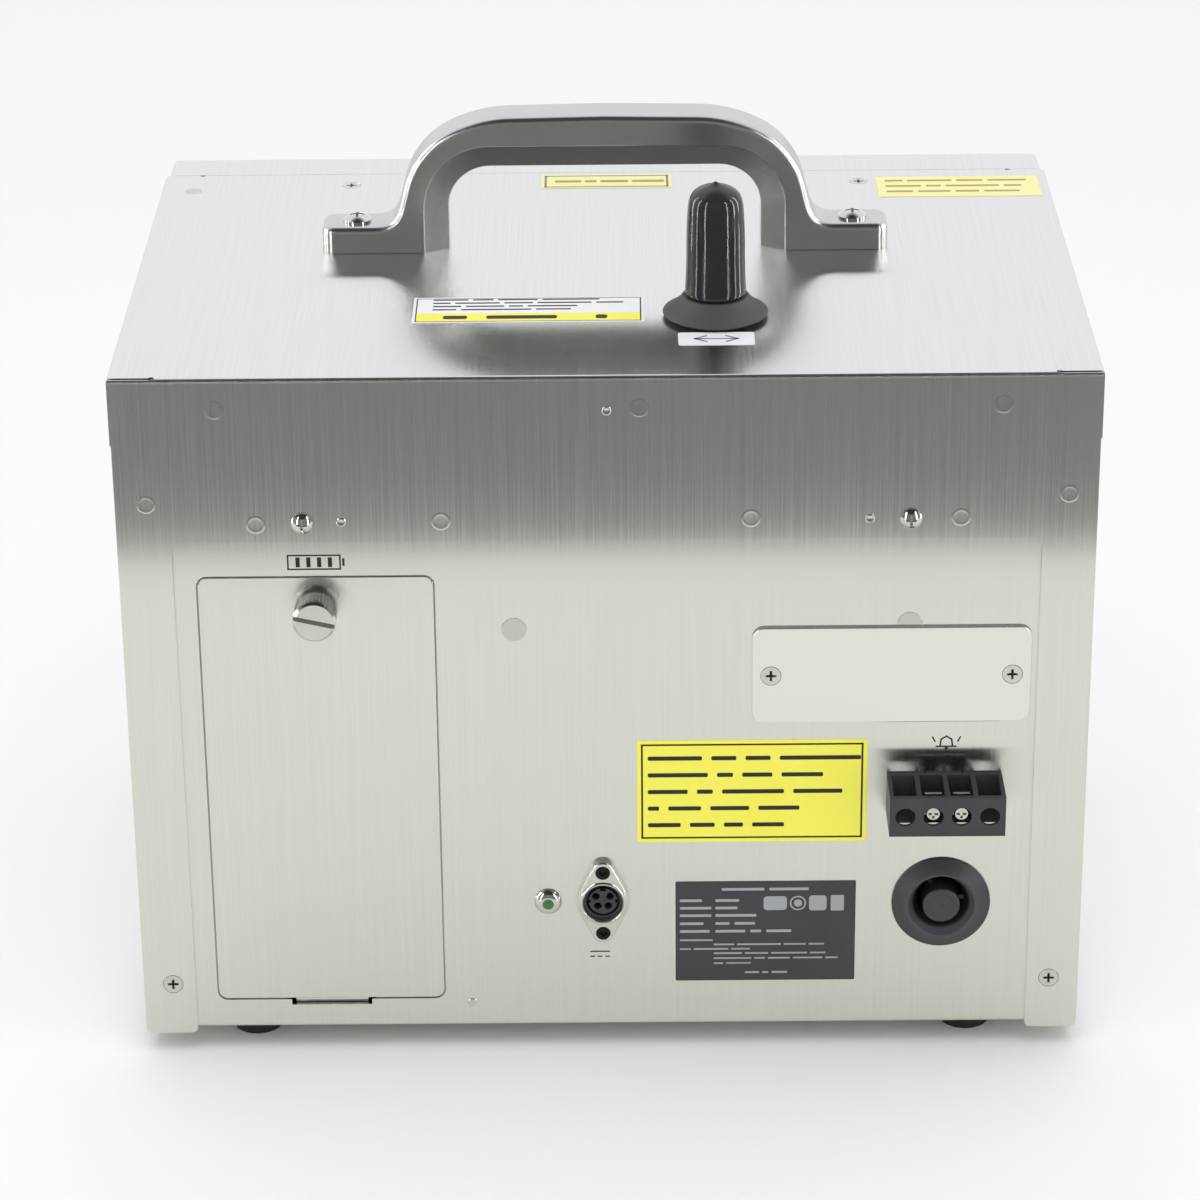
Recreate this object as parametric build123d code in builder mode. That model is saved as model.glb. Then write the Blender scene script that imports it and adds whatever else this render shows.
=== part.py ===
from build123d import *
import math
import os

os.makedirs("parts", exist_ok=True)

# Airborne particle counter, portable bench instrument.
# Frame: +Z up, floor at z = 0, rear panel (battery door, sockets) towards -Y, display side towards +Y.

# ---------------------------------------------------------------- driving sizes, mm

# Case
case_width = 300.0       # over the cover's side lips
case_depth = 209.0       # rear face to front face
case_height = 225.3      # cover's top to the foot of the rear legs
ground_gap = 6.7         # under the rear legs
sheet = 1.2              # stainless sheet
bend = 1.5               # outside radius of a fold
seam = 0.15              # gap between neighbouring sheets
lip_depth = 22.0         # cover's side lips
front_strip = 17.5       # depth of the front panel's flanges
relief_in = 13.7         # corner relief holes of the cover, in from its sides
relief_in_front = 12.8
relief_bore = 1.8
ear_drop = 0.3           # rear ears below the cover's top
relief_slit = 0.5
tray_lift = 1.2          # tray's underside above the foot of the legs
upstand = 15.0           # tray's folded edges
flange_in = 12.0         # inward flanges of the side panels
rail_reach = 20.0        # front rail, behind the seam
rail_tongue = 8.0        # front rail, under the front panel's flange
rail_drop = 12.0

# Rear frame and rear panel
frame_leg = 16.5         # width of the cover's rear legs
head_over_door = 12.2    # from the door's top edge up to the rear frame's cut-out
frame_corner = 4.4
leg_corner = 2.0
panel_lap = 3.1          # rear panel behind the rear frame, at the sides
panel_lap_top = 15.4     # rear panel behind the rear frame, above the cut-out

# Screws: (clearance hole radius follows from the shank)
shank_gap = 0.2
m3_shank = 1.5
m4_shank = 2.0
pan_head = 3.3
pan_height = 2.2
flat_head = 3.1
truss_head = 4.65
truss_height = 2.4
recess_width = 0.8
rear_screw_pitch = 185.4
rear_screw_up = 6.4      # above the cut-out
leg_screw_in = 9.9       # from the case's sides
leg_screw_up = 17.9      # above the foot of the legs
top_screw_pitch = 171.8
top_screw_back = 180.0

# Handle
handle_pitch = 160.6     # between its screws
handle_toe = 11.2        # from a screw to the foot's end
handle_heel = 29.9       # from a screw to the leg's inner face
handle_back = 119.0      # centreline, from the rear face
handle_depth = 16.6
handle_foot = 8.65
handle_rise = 45.6
handle_grip_under = 27.9
grip_half = 30.0         # straight part of the grip, half its length
grip_fall = 0.5          # over that half
handle_leg = 16.2        # leg's width at the foot
handle_instep = 7.9      # round between the leg and its foot
handle_inner_radius = 13.5
handle_bevel = 8.0       # inner bevel, across the arch
handle_bevel_in = 5.1    # inner bevel, into the depth
handle_edge = 2.0
handle_corner = 4.0
pad_plate = 2.0          # nut plates under the cover

# Inlet
inlet_x = 34.3
inlet_back = 52.0
inlet_tube_r = 7.0
inlet_bore_r = 4.0
inlet_rise = 36.0        # tube above the cover
inlet_gap = 0.3
inlet_funnel = 3.0
inlet_edge = 0.6
inlet_throat_r = 5.0     # below the cover
flange_r = 16.4
flange_rim = 2.0
flange_rise = 6.8
cap_foot_r = 9.65
cap_shoulder_r = 8.85
cap_skirt = 36.3         # straight part's top, above the cover
cap_dome = ((0.9, 39.1), (0.7, 40.8), (0.45, 41.9), (0.24, 42.5))  # share of the radius, height
cap_tip = 43.6
cap_tip_r = 0.5
cap_nib = 0.25
cap_seat = 0.2

# Battery door and its screw
door_width = 72.4
door_height = 147.9
door_side = 24.3         # from the case's side to the door
door_up = 11.8           # from the foot of the legs to the door
door_corner = 3.0
door_gap = 0.45
door_edge = 0.3
door_rim = 2.5           # overlap of the compartment's flange behind the door
tab_width = 23.1
tab_relief = 1.3
hook_gap = 0.4
hook_drop = 6.0
thumb_in = 10.5          # screw's axis, below the door's top edge
thumb_head_r = 6.65
thumb_head = 8.4
thumb_neck_r = 4.2
thumb_neck = 2.3
thumb_chamfer = 0.8
thumb_edge = 0.6
thumb_groove = 0.5       # depth of the clip's groove
thumb_slot = 1.5
thumb_slot_deep = 1.6
thumb_slot_tilt = 13.0
knurl_count = 36
knurl_deep = 0.48
thumb_shank = 2.0
thumb_engage = 2.0
thumb_clear = 0.35       # shank in the door and in the catch
clip_r = 3.6
clip_thick = 0.8
clip_mouth = 2.8
clip_gap = 0.05
screw_travel = 2.1
catch_gap = 4.2
catch_width = 24.0
catch_height = 22.0
catch_foot = 11.0
catch_plate = 1.5
catch_nut_r = 4.5
catch_nut = 3.0

# Battery compartment and battery
bay_depth = 86.0
bay_flange = 7.0
bay_wall = 1.0
battery_gap = 0.8
battery_height = 112.0
battery_back = 10.0      # clear of the door's hook
battery_depth = 74.0
battery_corner = 6.0
battery_edge = 3.0

# Option plate
option_width = 86.2
option_height = 32.4
option_side = 19.1       # from the case's side to the plate
option_over_block = 41.3
option_corner = 3.7
option_pitch = 74.7
option_window_width = 62.0
option_window_height = 18.0

# Terminal block
block_side = 27.0        # from the case's side to the block
block_over_port = 38.9
block_width = 36.0
block_height = 13.4
block_proud = 17.2
block_tail = 4.0         # behind the rear panel, to its board
block_margin = 13.0      # how much larger its board is
block_ways = 4
block_pitch = 8.75
block_wall = 1.5
well_depth = 8.6
bore_r = 3.1
bore_deep = 13.0
clamp_head_r = 2.45
clamp_head = 1.6
clamp_edge = 0.45
clamp_head_back = 1.4
clamp_shank_r = 1.3
clamp_width = 5.2
clamp_thick = 1.3
clamp_gap = 0.3
clamp_rise = 0.4         # screw's axis above the bore's
clamp_shank_l = 6.0
clamp_low = 1.2
clamp_high = 6.0
contact_rise = 0.9
board = 1.6

# Exhaust port and filter
port_up = 45.3           # axis above the foot of the legs
port_rim_r = 15.6
port_mouth_r = 10.6
port_rise = 3.1
port_lip = 0.8
port_core_r = 5.9
port_tail_r = 9.0
port_tail = 18.0
port_web = 1.6
filter_r = 16.0
filter_length = 62.0
filter_barb_r = 4.0
filter_barb = 12.0
filter_edge = 3.0
filter_gap = 2.0         # behind the port's tail
saddle_length = 14.0
port_core = 8.0          # core's length behind the panel
port_wall = 1.5
port_throat = 3.0        # webs' front, behind the panel
port_edge = 0.4

# Power socket
socket_x = -2.2
socket_up = 46.8         # axis above the foot of the legs
socket_r = 8.3
socket_pitch = 21.6
socket_ear_r = 3.5
socket_plate = 2.5
socket_insert_r = 6.35
socket_insert_back = 14.0
socket_key = 1.2
socket_sunk = 1.5        # insert's face below the flange's, and the contacts' ends below that
socket_groove = 3.0
pin_r = 0.95
pin_wall = 0.3
pin_deep = 7.0
pin_top_pitch = 4.5
pin_low_pitch = 3.3
pin_rows = 3.4
m2_shank = 1.25
socket_head = 2.2

# Indicator
lamp_x = -19.6
lamp_up = 46.4
lamp_bezel_r = 4.35
lamp_lens_r = 1.75
lamp_rise = 2.2
lamp_edge = 0.5          # bezel's rim, and the lens's dome
lamp_barrel_r = 3.0
lamp_barrel = 12.0

# Feet
foot_r = 9.0
foot_in = 35.0           # from the case's sides to a foot's centre
foot_back = 18.5         # from the rear face to a rear foot's centre
foot_front = 31.0        # from the front face to a front foot's centre
foot_taper = 8.0         # degrees

# Front panel
window_width = 118.0
window_height = 90.0
window_x = 30.0
window_z = 140.0
window_corner = 3.0
lens_gap = 0.2
lens_rim = 2.0
display_deep = 12.0
button_side = 46.0       # axis, from the case's side
button_z = 52.0
button_r = 8.0
button_gap = 0.3
button_proud = 1.5
button_travel = 1.2
button_cap = 5.0
button_edge = 0.6
button_rim = 1.2
button_collar = 1.2      # collar behind the panel, wider than the hole
switch_size = 26.0
switch_deep = 10.0

# Air path
sensor_size = 56.0
sensor_height = 50.0
sensor_floor = 10.0      # below the sample bore
sensor_corner = 3.0
sensor_edge = 1.0
can_width = 14.0         # screening can on the detector board
can_height = 10.0
can_deep = 5.0
shelf_side = 6.0         # shelf beyond the block
shelf_z = 88.0
laser_r = 10.0
laser_length = 34.0
trap_r = 9.0
trap_length = 18.0
trap_cone = 4.0
trap_tip_r = 4.0
trap_wall = 2.0
flange_out = 2.5         # flanges of the laser unit and the light trap
flange_thick = 2.5
hose_r = 4.5
hose_bore = 3.0
hose_turn = 13.0
nipple_r = 2.9
nipple = 8.0
nipple_hex_r = 4.5       # its collar
nipple_hex = 2.0
outlet_in = 7.0
outlet_drop = 10.0
pump_x = -84.0
pump_y = 46.0
pump_width = 52.0
pump_depth = 44.0
pump_height = 48.0
pump_corner = 5.0
pump_edge = 1.5
motor_r = 21.0
motor_length = 46.0
motor_edge = 2.5
motor_boss_r = 6.0
motor_boss = 3.0
mount_r = 6.0
mount_height = 7.0

# Boards
main_width = 112.0
main_depth = 62.0
main_side = 13.45        # from the side panel's inner face
main_y = 60.0
power_width = 62.0
power_depth = 44.0
post_r = 3.0
post_height = 8.0
post_in = 4.5
chip_height = 3.0

# ---------------------------------------------------------------- derived places

rear_reach = block_proud - sheet
rear_y = (rear_reach - case_depth - button_proud) / 2
front_y = rear_y + case_depth
panel_y = rear_y + sheet             # rear panel's outer face
panel_back = panel_y + sheet
seam_y = front_y - front_strip
leg_z = ground_gap
top_z = ground_gap + case_height
under_top = top_z - sheet
tray_z = leg_z + tray_lift           # tray's underside
floor_z = tray_z + sheet             # tray's inner face
side_out = case_width / 2 - sheet - seam
side_in = side_out - sheet
cover_leg = case_width / 2 - 0.6     # outer edge of the rear legs
cutout = 2 * (cover_leg - frame_leg)
panel_half = cutout / 2 + panel_lap
tray_front = front_y - sheet - seam
handle_y = rear_y + handle_back
leg_in = handle_pitch / 2 - handle_heel
inlet_y = rear_y + inlet_back
door_foot = leg_z + door_up
door_top = door_foot + door_height
door_drop = top_z - door_top
door_x = door_side + (door_width - case_width) / 2
thumb_x = door_x
thumb_drop = door_drop + thumb_in
frame_head = door_drop - head_over_door      # height of the cover's rear zone above the cut-out
panel_top = frame_head - panel_lap_top       # rear panel's top edge, below the cover's top
rear_screw_drop = frame_head - rear_screw_up
leg_screw_pitch = case_width - 2 * leg_screw_in
leg_screw_drop = case_height - leg_screw_up
port_drop = case_height - port_up
lamp_drop = case_height - lamp_up
socket_drop = case_height - socket_up
block_x = (case_width - block_width) / 2 - block_side
port_x = block_x
block_drop = port_drop - block_over_port
option_x = (case_width - option_width) / 2 - option_side
option_drop = block_drop - option_over_block
main_x = side_in - main_side - main_width / 2
button_x = button_side - case_width / 2
foot_x_out = case_width / 2 - foot_in
foot_places = {
    "rear_left": (-foot_x_out, rear_y + foot_back),
    "rear_right": (foot_x_out, rear_y + foot_back),
    "front_left": (-foot_x_out, front_y - foot_front),
    "front_right": (foot_x_out, front_y - foot_front),
}


def rear_plane(x, drop, y=None):
    """A plane on the rear, facing out: x across, drop below the cover's top."""
    place = (x, panel_y if y is None else y, top_z - drop)
    return Plane(place, x_dir=(1, 0, 0), z_dir=(0, -1, 0))


def half_section(seat):
    """The plane through a seat's axis: x outwards from the axis, y along the seat's normal."""
    return Plane(seat.origin, x_dir=seat.x_dir, z_dir=-seat.y_dir)


def turned(seat, outline):
    """Adds a solid turned about the seat's normal; outline is a list of (radius, height) corners."""
    with BuildSketch(half_section(seat)) as section:
        with BuildLine():
            Polyline(*outline, close=True)
        make_face()
    revolve(section.sketch, axis=Axis(seat.origin, seat.z_dir))


def cap_middle(radius, base, rise):
    """The point half way out on a spherical cap's section, for an arc that meets the axis squarely."""
    ball = (radius ** 2 + rise ** 2) / (2 * rise)
    return (radius / 2, base + rise - ball + math.sqrt(ball ** 2 - radius ** 2 / 4))


def cross_recess(seat, top, radius, deep):
    """Cuts a cross recess into a screw's head."""
    with BuildSketch(seat.offset(top - deep)) as cross:
        Rectangle(2 * radius, recess_width)
        Rectangle(recess_width, 2 * radius)
    extrude(cross.sketch, amount=2 * deep, mode=Mode.SUBTRACT)


def domed_screw(seat, head_r, head_h, shank_r, shank_l):
    """Adds a screw with a domed head that sits on the seat, shank inwards."""
    with BuildSketch(half_section(seat)) as section:
        with BuildLine():
            Line((0, -shank_l), (shank_r, -shank_l))
            Line((shank_r, -shank_l), (shank_r, 0))
            Line((shank_r, 0), (head_r, 0))
            Line((head_r, 0), (head_r, 0.3 * head_h))
            ThreePointArc((head_r, 0.3 * head_h), cap_middle(head_r, 0.3 * head_h, 0.7 * head_h), (0, head_h))
            Line((0, head_h), (0, -shank_l))
        make_face()
    revolve(section.sketch, axis=Axis(seat.origin, seat.z_dir))
    cross_recess(seat, head_h, 0.5 * head_r, 0.5 * head_h)


def flat_screw(seat, head_r, shank_r, shank_l):
    """Adds a countersunk screw, its head flush with the seat."""
    cone = head_r - shank_r
    turned(seat, [(0, 0), (head_r, 0), (shank_r, -cone), (shank_r, -shank_l), (0, -shank_l)])
    cross_recess(seat, 0, 0.55 * head_r, 0.7)


# ---------------------------------------------------------------- case

# Top cover: one folded sheet with side lips and a rear frame in the shape of an inverted U.
# The rear fold stops short of the corners, at a slit and a small round hole.
with BuildPart() as top_cover:
    with BuildSketch(Plane.XZ.offset(-(rear_y + sheet + relief_slit))):
        with BuildLine():
            Polyline(
                (-case_width / 2, top_z - lip_depth), (-case_width / 2, top_z), (case_width / 2, top_z),
                (case_width / 2, top_z - lip_depth), (case_width / 2 - sheet, top_z - lip_depth),
                (case_width / 2 - sheet, under_top), (-case_width / 2 + sheet, under_top),
                (-case_width / 2 + sheet, top_z - lip_depth), close=True,
            )
        make_face()
        fillet(vertices().group_by(Axis.Y)[-1], radius=bend)
    extrude(amount=-(seam_y - rear_y - sheet - relief_slit))
    with BuildSketch(Plane.XZ.offset(-rear_y)):
        with Locations((0, (leg_z + top_z - ear_drop) / 2)):
            Rectangle(2 * cover_leg, top_z - ear_drop - leg_z)
        with Locations((0, top_z - 2 * bend)):
            Rectangle(case_width - 2 * relief_in, 4 * bend)
    extrude(amount=-sheet)
    with BuildSketch(Plane.XY.offset(top_z)):
        with Locations((0, rear_y + sheet)):
            Rectangle(case_width - 2 * relief_in, 2 * sheet)
    extrude(amount=-sheet)
    fold = top_cover.edges().filter_by(Axis.X).group_by(Axis.Y)[0].group_by(Axis.Z)[-1]
    fillet(fold, radius=bend)
    # rear cut-out, open at the foot
    with BuildSketch(Plane.XZ.offset(-rear_y)):
        with BuildLine():
            FilletPolyline(
                (-cutout / 2, leg_z), (-cutout / 2, top_z - frame_head),
                (cutout / 2, top_z - frame_head), (cutout / 2, leg_z), radius=frame_corner,
            )
            Line((cutout / 2, leg_z), (-cutout / 2, leg_z))
        make_face()
    extrude(amount=-2 * sheet, mode=Mode.SUBTRACT)
    fillet(top_cover.edges().filter_by(Axis.Y).group_by(Axis.Z)[0], radius=leg_corner)
    # corner relief holes, at the rear fold and at the front seam
    for edge_y, inset in ((rear_y + sheet + relief_slit / 2, relief_in), (seam_y, relief_in_front)):
        for side in (-1, 1):
            with Locations((side * (case_width / 2 - inset), edge_y, top_z)):
                Cylinder(relief_bore / 2, 3 * sheet, mode=Mode.SUBTRACT)
    # holes for the handle and the inlet
    with Locations((0, handle_y, top_z)):
        with GridLocations(handle_pitch, 0, 2, 1):
            Hole(m4_shank + shank_gap, 2 * sheet)
    with Locations((inlet_x, inlet_y, top_z)):
        Hole(inlet_tube_r + inlet_gap, 2 * sheet)
    with Locations((0, rear_y + top_screw_back, top_z)):
        with GridLocations(top_screw_pitch, 0, 2, 1):
            CounterSinkHole(m3_shank + shank_gap, flat_head + seam, 2 * sheet)
    with Locations(rear_plane(0, rear_screw_drop, rear_y)):
        with GridLocations(rear_screw_pitch, 0, 2, 1):
            Hole(m3_shank + shank_gap, 2 * sheet)
    with Locations(rear_plane(0, leg_screw_drop, rear_y)):
        with GridLocations(leg_screw_pitch, 0, 2, 1):
            CounterSinkHole(m3_shank + shank_gap, flat_head + seam, 2 * sheet)
top_cover.part.label = "top_cover"
export_step(top_cover.part, "parts/top_cover.step")

# Tray: floor and rear panel in one folded sheet, with upturned side and front edges.
with BuildPart() as tray:
    with BuildSketch(Plane.YZ):
        with BuildLine():
            Polyline(
                (panel_y, top_z - panel_top), (panel_y, tray_z), (tray_front, tray_z),
                (tray_front, tray_z + upstand), (tray_front - sheet, tray_z + upstand),
                (tray_front - sheet, floor_z), (panel_back, floor_z), (panel_back, top_z - panel_top),
                close=True,
            )
        make_face()
        fillet(vertices().group_by(Axis.Y)[0], radius=bend)
    extrude(amount=panel_half, both=True)
    floor_start = panel_back + seam
    floor_half = side_in - seam
    with BuildSketch(Plane.XZ.offset(-floor_start)):
        with BuildLine():
            Polyline(
                (-floor_half, tray_z + upstand), (-floor_half, tray_z), (floor_half, tray_z),
                (floor_half, tray_z + upstand), (floor_half - sheet, tray_z + upstand),
                (floor_half - sheet, floor_z), (-floor_half + sheet, floor_z),
                (-floor_half + sheet, tray_z + upstand), close=True,
            )
        make_face()
        fillet(vertices().group_by(Axis.Y)[0], radius=bend)
    extrude(amount=-(tray_front - 2 * bend - floor_start))
    # battery door opening, with its tab notch
    with BuildSketch(rear_plane(door_x, door_drop + door_height / 2)):
        RectangleRounded(door_width + 2 * door_gap, door_height + 2 * door_gap, door_corner + door_gap)
    extrude(amount=-2 * sheet, mode=Mode.SUBTRACT)
    with BuildSketch(rear_plane(door_x, door_drop + door_height + door_gap)):
        Rectangle(tab_width + 2 * tab_relief, 3 * tab_relief)
    extrude(amount=-2 * sheet, mode=Mode.SUBTRACT)
    # sockets, indicator, exhaust, terminals and the option window
    with Locations(rear_plane(socket_x, socket_drop)):
        Hole(socket_insert_r + shank_gap, 2 * sheet)
        with GridLocations(0, socket_pitch, 1, 2):
            Hole(m3_shank + shank_gap, 2 * sheet)
    with Locations(rear_plane(lamp_x, lamp_drop)):
        Hole(lamp_barrel_r + shank_gap, 2 * sheet)
    with Locations(rear_plane(port_x, port_drop)):
        Hole(port_tail_r + shank_gap, 2 * sheet)
    with BuildSketch(rear_plane(block_x, block_drop)):
        Rectangle(block_width - 2 * block_wall + 2 * seam, block_height - 2 * block_wall + 2 * seam)
    extrude(amount=-2 * sheet, mode=Mode.SUBTRACT)
    with BuildSketch(rear_plane(option_x, option_drop)):
        RectangleRounded(option_window_width, option_window_height, option_corner)
    extrude(amount=-2 * sheet, mode=Mode.SUBTRACT)
    with Locations(rear_plane(option_x, option_drop)):
        with GridLocations(option_pitch, 0, 2, 1):
            Hole(flat_head - sheet + shank_gap, 2 * sheet)
    with Locations(rear_plane(0, rear_screw_drop)):
        with GridLocations(rear_screw_pitch, 0, 2, 1):
            Hole(m3_shank + shank_gap, 2 * sheet)
    # foot screw holes
    with Locations(*[(x, y, floor_z) for x, y in foot_places.values()]):
        Hole(m3_shank + shank_gap, 2 * sheet)
tray.part.label = "tray"
export_step(tray.part, "parts/tray.step")

# Side panels: a sheet with an inward flange at the top and at the rear.
for name, side in (("left", -1), ("right", 1)):
    with BuildPart() as side_panel:
        with BuildSketch(Plane.XZ.offset(-panel_y)):
            with BuildLine():
                Polyline(
                    (side * side_out, leg_z), (side * side_out, under_top),
                    (side * (side_out - flange_in), under_top),
                    (side * (side_out - flange_in), under_top - sheet),
                    (side * side_in, under_top - sheet), (side * side_in, leg_z), close=True,
                )
            make_face()
            outer = vertices().group_by(Axis.Y)[-1].sort_by(Axis.X)[0 if side < 0 else -1]
            fillet(outer, radius=bend)
        extrude(amount=-(seam_y - seam - panel_y))
        with BuildSketch(Plane.XY.offset(leg_z)):
            rear_flange = side_in - panel_half - 2 * seam
            with Locations((side * (side_in - rear_flange / 2), panel_y + sheet / 2)):
                Rectangle(rear_flange, sheet)
        extrude(amount=under_top - leg_z)
        with Locations(rear_plane(side * leg_screw_pitch / 2, leg_screw_drop)):
            Hole(flat_head - sheet + shank_gap, 2 * sheet)
    side_panel.part.label = f"side_panel_{name}"
    export_step(side_panel.part, f"parts/side_panel_{name}.step")

# Front panel: a pan whose flanges make the strip in front of the cover's seam.
with BuildPart() as front_panel:
    pan_height_z = top_z - leg_z
    with BuildSketch(Plane.XZ.offset(-front_y)):
        with Locations((0, leg_z + pan_height_z / 2)):
            RectangleRounded(2 * side_out, pan_height_z, bend)
    extrude(amount=front_strip - seam)
    fillet(front_panel.faces().sort_by(Axis.Y)[-1].edges(), radius=bend - 0.3)
    with BuildSketch(Plane.XZ.offset(-(front_y - sheet))):
        with Locations((0, leg_z + pan_height_z / 2)):
            RectangleRounded(2 * side_in, pan_height_z - 2 * sheet, 0.5)
    extrude(amount=front_strip, mode=Mode.SUBTRACT)
    with BuildSketch(Plane.XZ.offset(-front_y)):
        with Locations((window_x, window_z)):
            RectangleRounded(window_width, window_height, window_corner)
        with Locations((button_x, button_z)):
            Circle(button_r + button_gap)
    extrude(amount=2 * sheet, mode=Mode.SUBTRACT)
front_panel.part.label = "front_panel"
export_step(front_panel.part, "parts/front_panel.step")

# Feet: rubber, tapered, with a recessed screw.
foot_screw_rise = tray_z / 2
for place, (foot_x, foot_y) in foot_places.items():
    with BuildPart() as foot:
        toe = foot_r - tray_z * math.tan(math.radians(foot_taper))
        turned(Plane((foot_x, foot_y, 0)), [
            (pan_head + 0.5, 0), (toe, 0), (foot_r, tray_z), (m3_shank + shank_gap, tray_z),
            (m3_shank + shank_gap, foot_screw_rise), (pan_head + 0.5, foot_screw_rise),
        ])
    foot.part.label = f"foot_{place}"
    export_step(foot.part, f"parts/foot_{place}.step")

with BuildPart() as foot_screws:
    for foot_x, foot_y in foot_places.values():
        seat = Plane((foot_x, foot_y, foot_screw_rise), z_dir=(0, 0, -1))
        domed_screw(seat, pan_head, pan_height, m3_shank, tray_z - foot_screw_rise + 2 * sheet)
foot_screws.part.label = "foot_screws"
export_step(foot_screws.part, "parts/foot_screws.step")

# Front rail: carries the cover's front edge and the front panel's top flange, and takes the top screws.
with BuildPart() as front_rail:
    with BuildSketch(Plane.YZ):
        with BuildLine():
            Polyline(
                (seam_y - rail_reach, under_top), (seam_y + rail_tongue, under_top),
                (seam_y + rail_tongue, under_top - sheet), (seam_y - rail_reach + sheet, under_top - sheet),
                (seam_y - rail_reach + sheet, under_top - rail_drop),
                (seam_y - rail_reach, under_top - rail_drop), close=True,
            )
        make_face()
    extrude(amount=side_out - flange_in - seam, both=True)
    with Locations((0, rear_y + top_screw_back, under_top)):
        with GridLocations(top_screw_pitch, 0, 2, 1):
            Hole(flat_head - sheet + shank_gap, 2 * sheet)
front_rail.part.label = "front_rail"
export_step(front_rail.part, "parts/front_rail.step")

# Case screws
with BuildPart() as rear_screws:
    for side in (-1, 1):
        seat = rear_plane(side * rear_screw_pitch / 2, rear_screw_drop, rear_y)
        domed_screw(seat, pan_head, pan_height, m3_shank, 3 * sheet)
rear_screws.part.label = "rear_screws"
export_step(rear_screws.part, "parts/rear_screws.step")

# Flat-headed screws of the rear legs, the cover's front edge and the option plate.
flat_seats = []
for side in (-1, 1):
    flat_seats.append(rear_plane(side * leg_screw_pitch / 2, leg_screw_drop, rear_y))
    flat_seats.append(Plane((side * top_screw_pitch / 2, rear_y + top_screw_back, top_z)))
    flat_seats.append(rear_plane(option_x + side * option_pitch / 2, option_drop).offset(sheet))
with BuildPart() as flat_screws:
    for seat in flat_seats:
        flat_screw(seat, flat_head, m3_shank, 3 * sheet)
flat_screws.part.label = "flat_screws"
export_step(flat_screws.part, "parts/flat_screws.step")

# ---------------------------------------------------------------- handle

# Polished casting: an arch with a broad bevel along its inside and a screw foot at each end.
foot_reach = handle_pitch / 2 + handle_toe
leg_out = leg_in + handle_leg
# Points down the shoulder: in from the leg's outer side, and below the grip's top.
handle_shoulder = ((20.6, 3.6), (10.0, 10.0), (3.2, 20.1), (0.0, 31.6))
with BuildPart() as handle:
    with BuildSketch(Plane.XZ.offset(-handle_y)):
        with BuildLine():
            Line((0, top_z), (0, top_z + handle_rise))
            grip = Line((0, top_z + handle_rise), (-grip_half, top_z + handle_rise - grip_fall))
            shoulder = Spline(
                grip @ 1,
                *[(step_in - leg_out, top_z + handle_rise - fall) for step_in, fall in handle_shoulder],
                tangents=((-grip_half, -grip_fall), (-0.3, -1)),
            )
            instep = Spline(
                shoulder @ 1, (-leg_out - handle_instep, top_z + handle_foot), tangents=((-0.3, -1), (-1, 0)),
            )
            Polyline(instep @ 1, (-foot_reach, top_z + handle_foot), (-foot_reach, top_z), (0, top_z))
        make_face()
        mirror(about=Plane.YZ)
        with BuildLine():
            FilletPolyline(
                (-leg_in, top_z), (-leg_in, top_z + handle_grip_under),
                (leg_in, top_z + handle_grip_under), (leg_in, top_z), radius=handle_inner_radius,
            )
            Line((leg_in, top_z), (-leg_in, top_z))
        make_face(mode=Mode.SUBTRACT)
    extrude(amount=handle_depth / 2, both=True)
    for end in (0, -1):
        front = handle.faces().filter_by(Axis.Y).sort_by(Axis.Y)[end]
        inside = front.edges().filter_by_position(Axis.X, -leg_in, leg_in)
        arch_edges = inside.filter_by_position(Axis.Z, top_z, top_z + handle_grip_under)
        chamfer(arch_edges, handle_bevel, handle_bevel_in, reference=front)
    corners = handle.edges().filter_by(Axis.Z).group_by(Axis.X)
    fillet(corners[0] + corners[-1], radius=handle_corner)
    rims = handle.edges().filter_by_position(Axis.Z, top_z + handle_foot, top_z + handle_rise)
    grip_rims = rims.filter_by(GeomType.LINE).group_by(Axis.Z)[-1]
    fillet(rims.filter_by(GeomType.BSPLINE) + grip_rims, radius=handle_edge)
    with Locations((0, handle_y, top_z + handle_foot)):
        with GridLocations(handle_pitch, 0, 2, 1):
            Hole(m4_shank + shank_gap, handle_foot)
handle.part.label = "handle"
export_step(handle.part, "parts/handle.step")

# Handle screws, and the nut plates under the cover.
with BuildPart() as handle_screws:
    for side in (-1, 1):
        seat = Plane((side * handle_pitch / 2, handle_y, top_z + handle_foot))
        domed_screw(seat, truss_head, truss_height, m4_shank, handle_foot + sheet + pad_plate)
handle_screws.part.label = "handle_screws"
export_step(handle_screws.part, "parts/handle_screws.step")

with BuildPart() as handle_nut_plates:
    with BuildSketch(Plane.XY.offset(under_top)):
        with GridLocations(handle_pitch, 0, 2, 1):
            with Locations((0, handle_y)):
                RectangleRounded(2 * handle_depth, handle_depth, handle_edge)
                Circle(m4_shank + shank_gap, mode=Mode.SUBTRACT)
    extrude(amount=-pad_plate)
handle_nut_plates.part.label = "handle_nut_plates"
export_step(handle_nut_plates.part, "parts/handle_nut_plates.step")

# ---------------------------------------------------------------- inlet and air path

shelf_top = shelf_z + sheet
sensor_top = shelf_top + sensor_height
sensor_mid = shelf_top + sensor_height / 2
inlet_seat = Plane((inlet_x, inlet_y, top_z))

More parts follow.
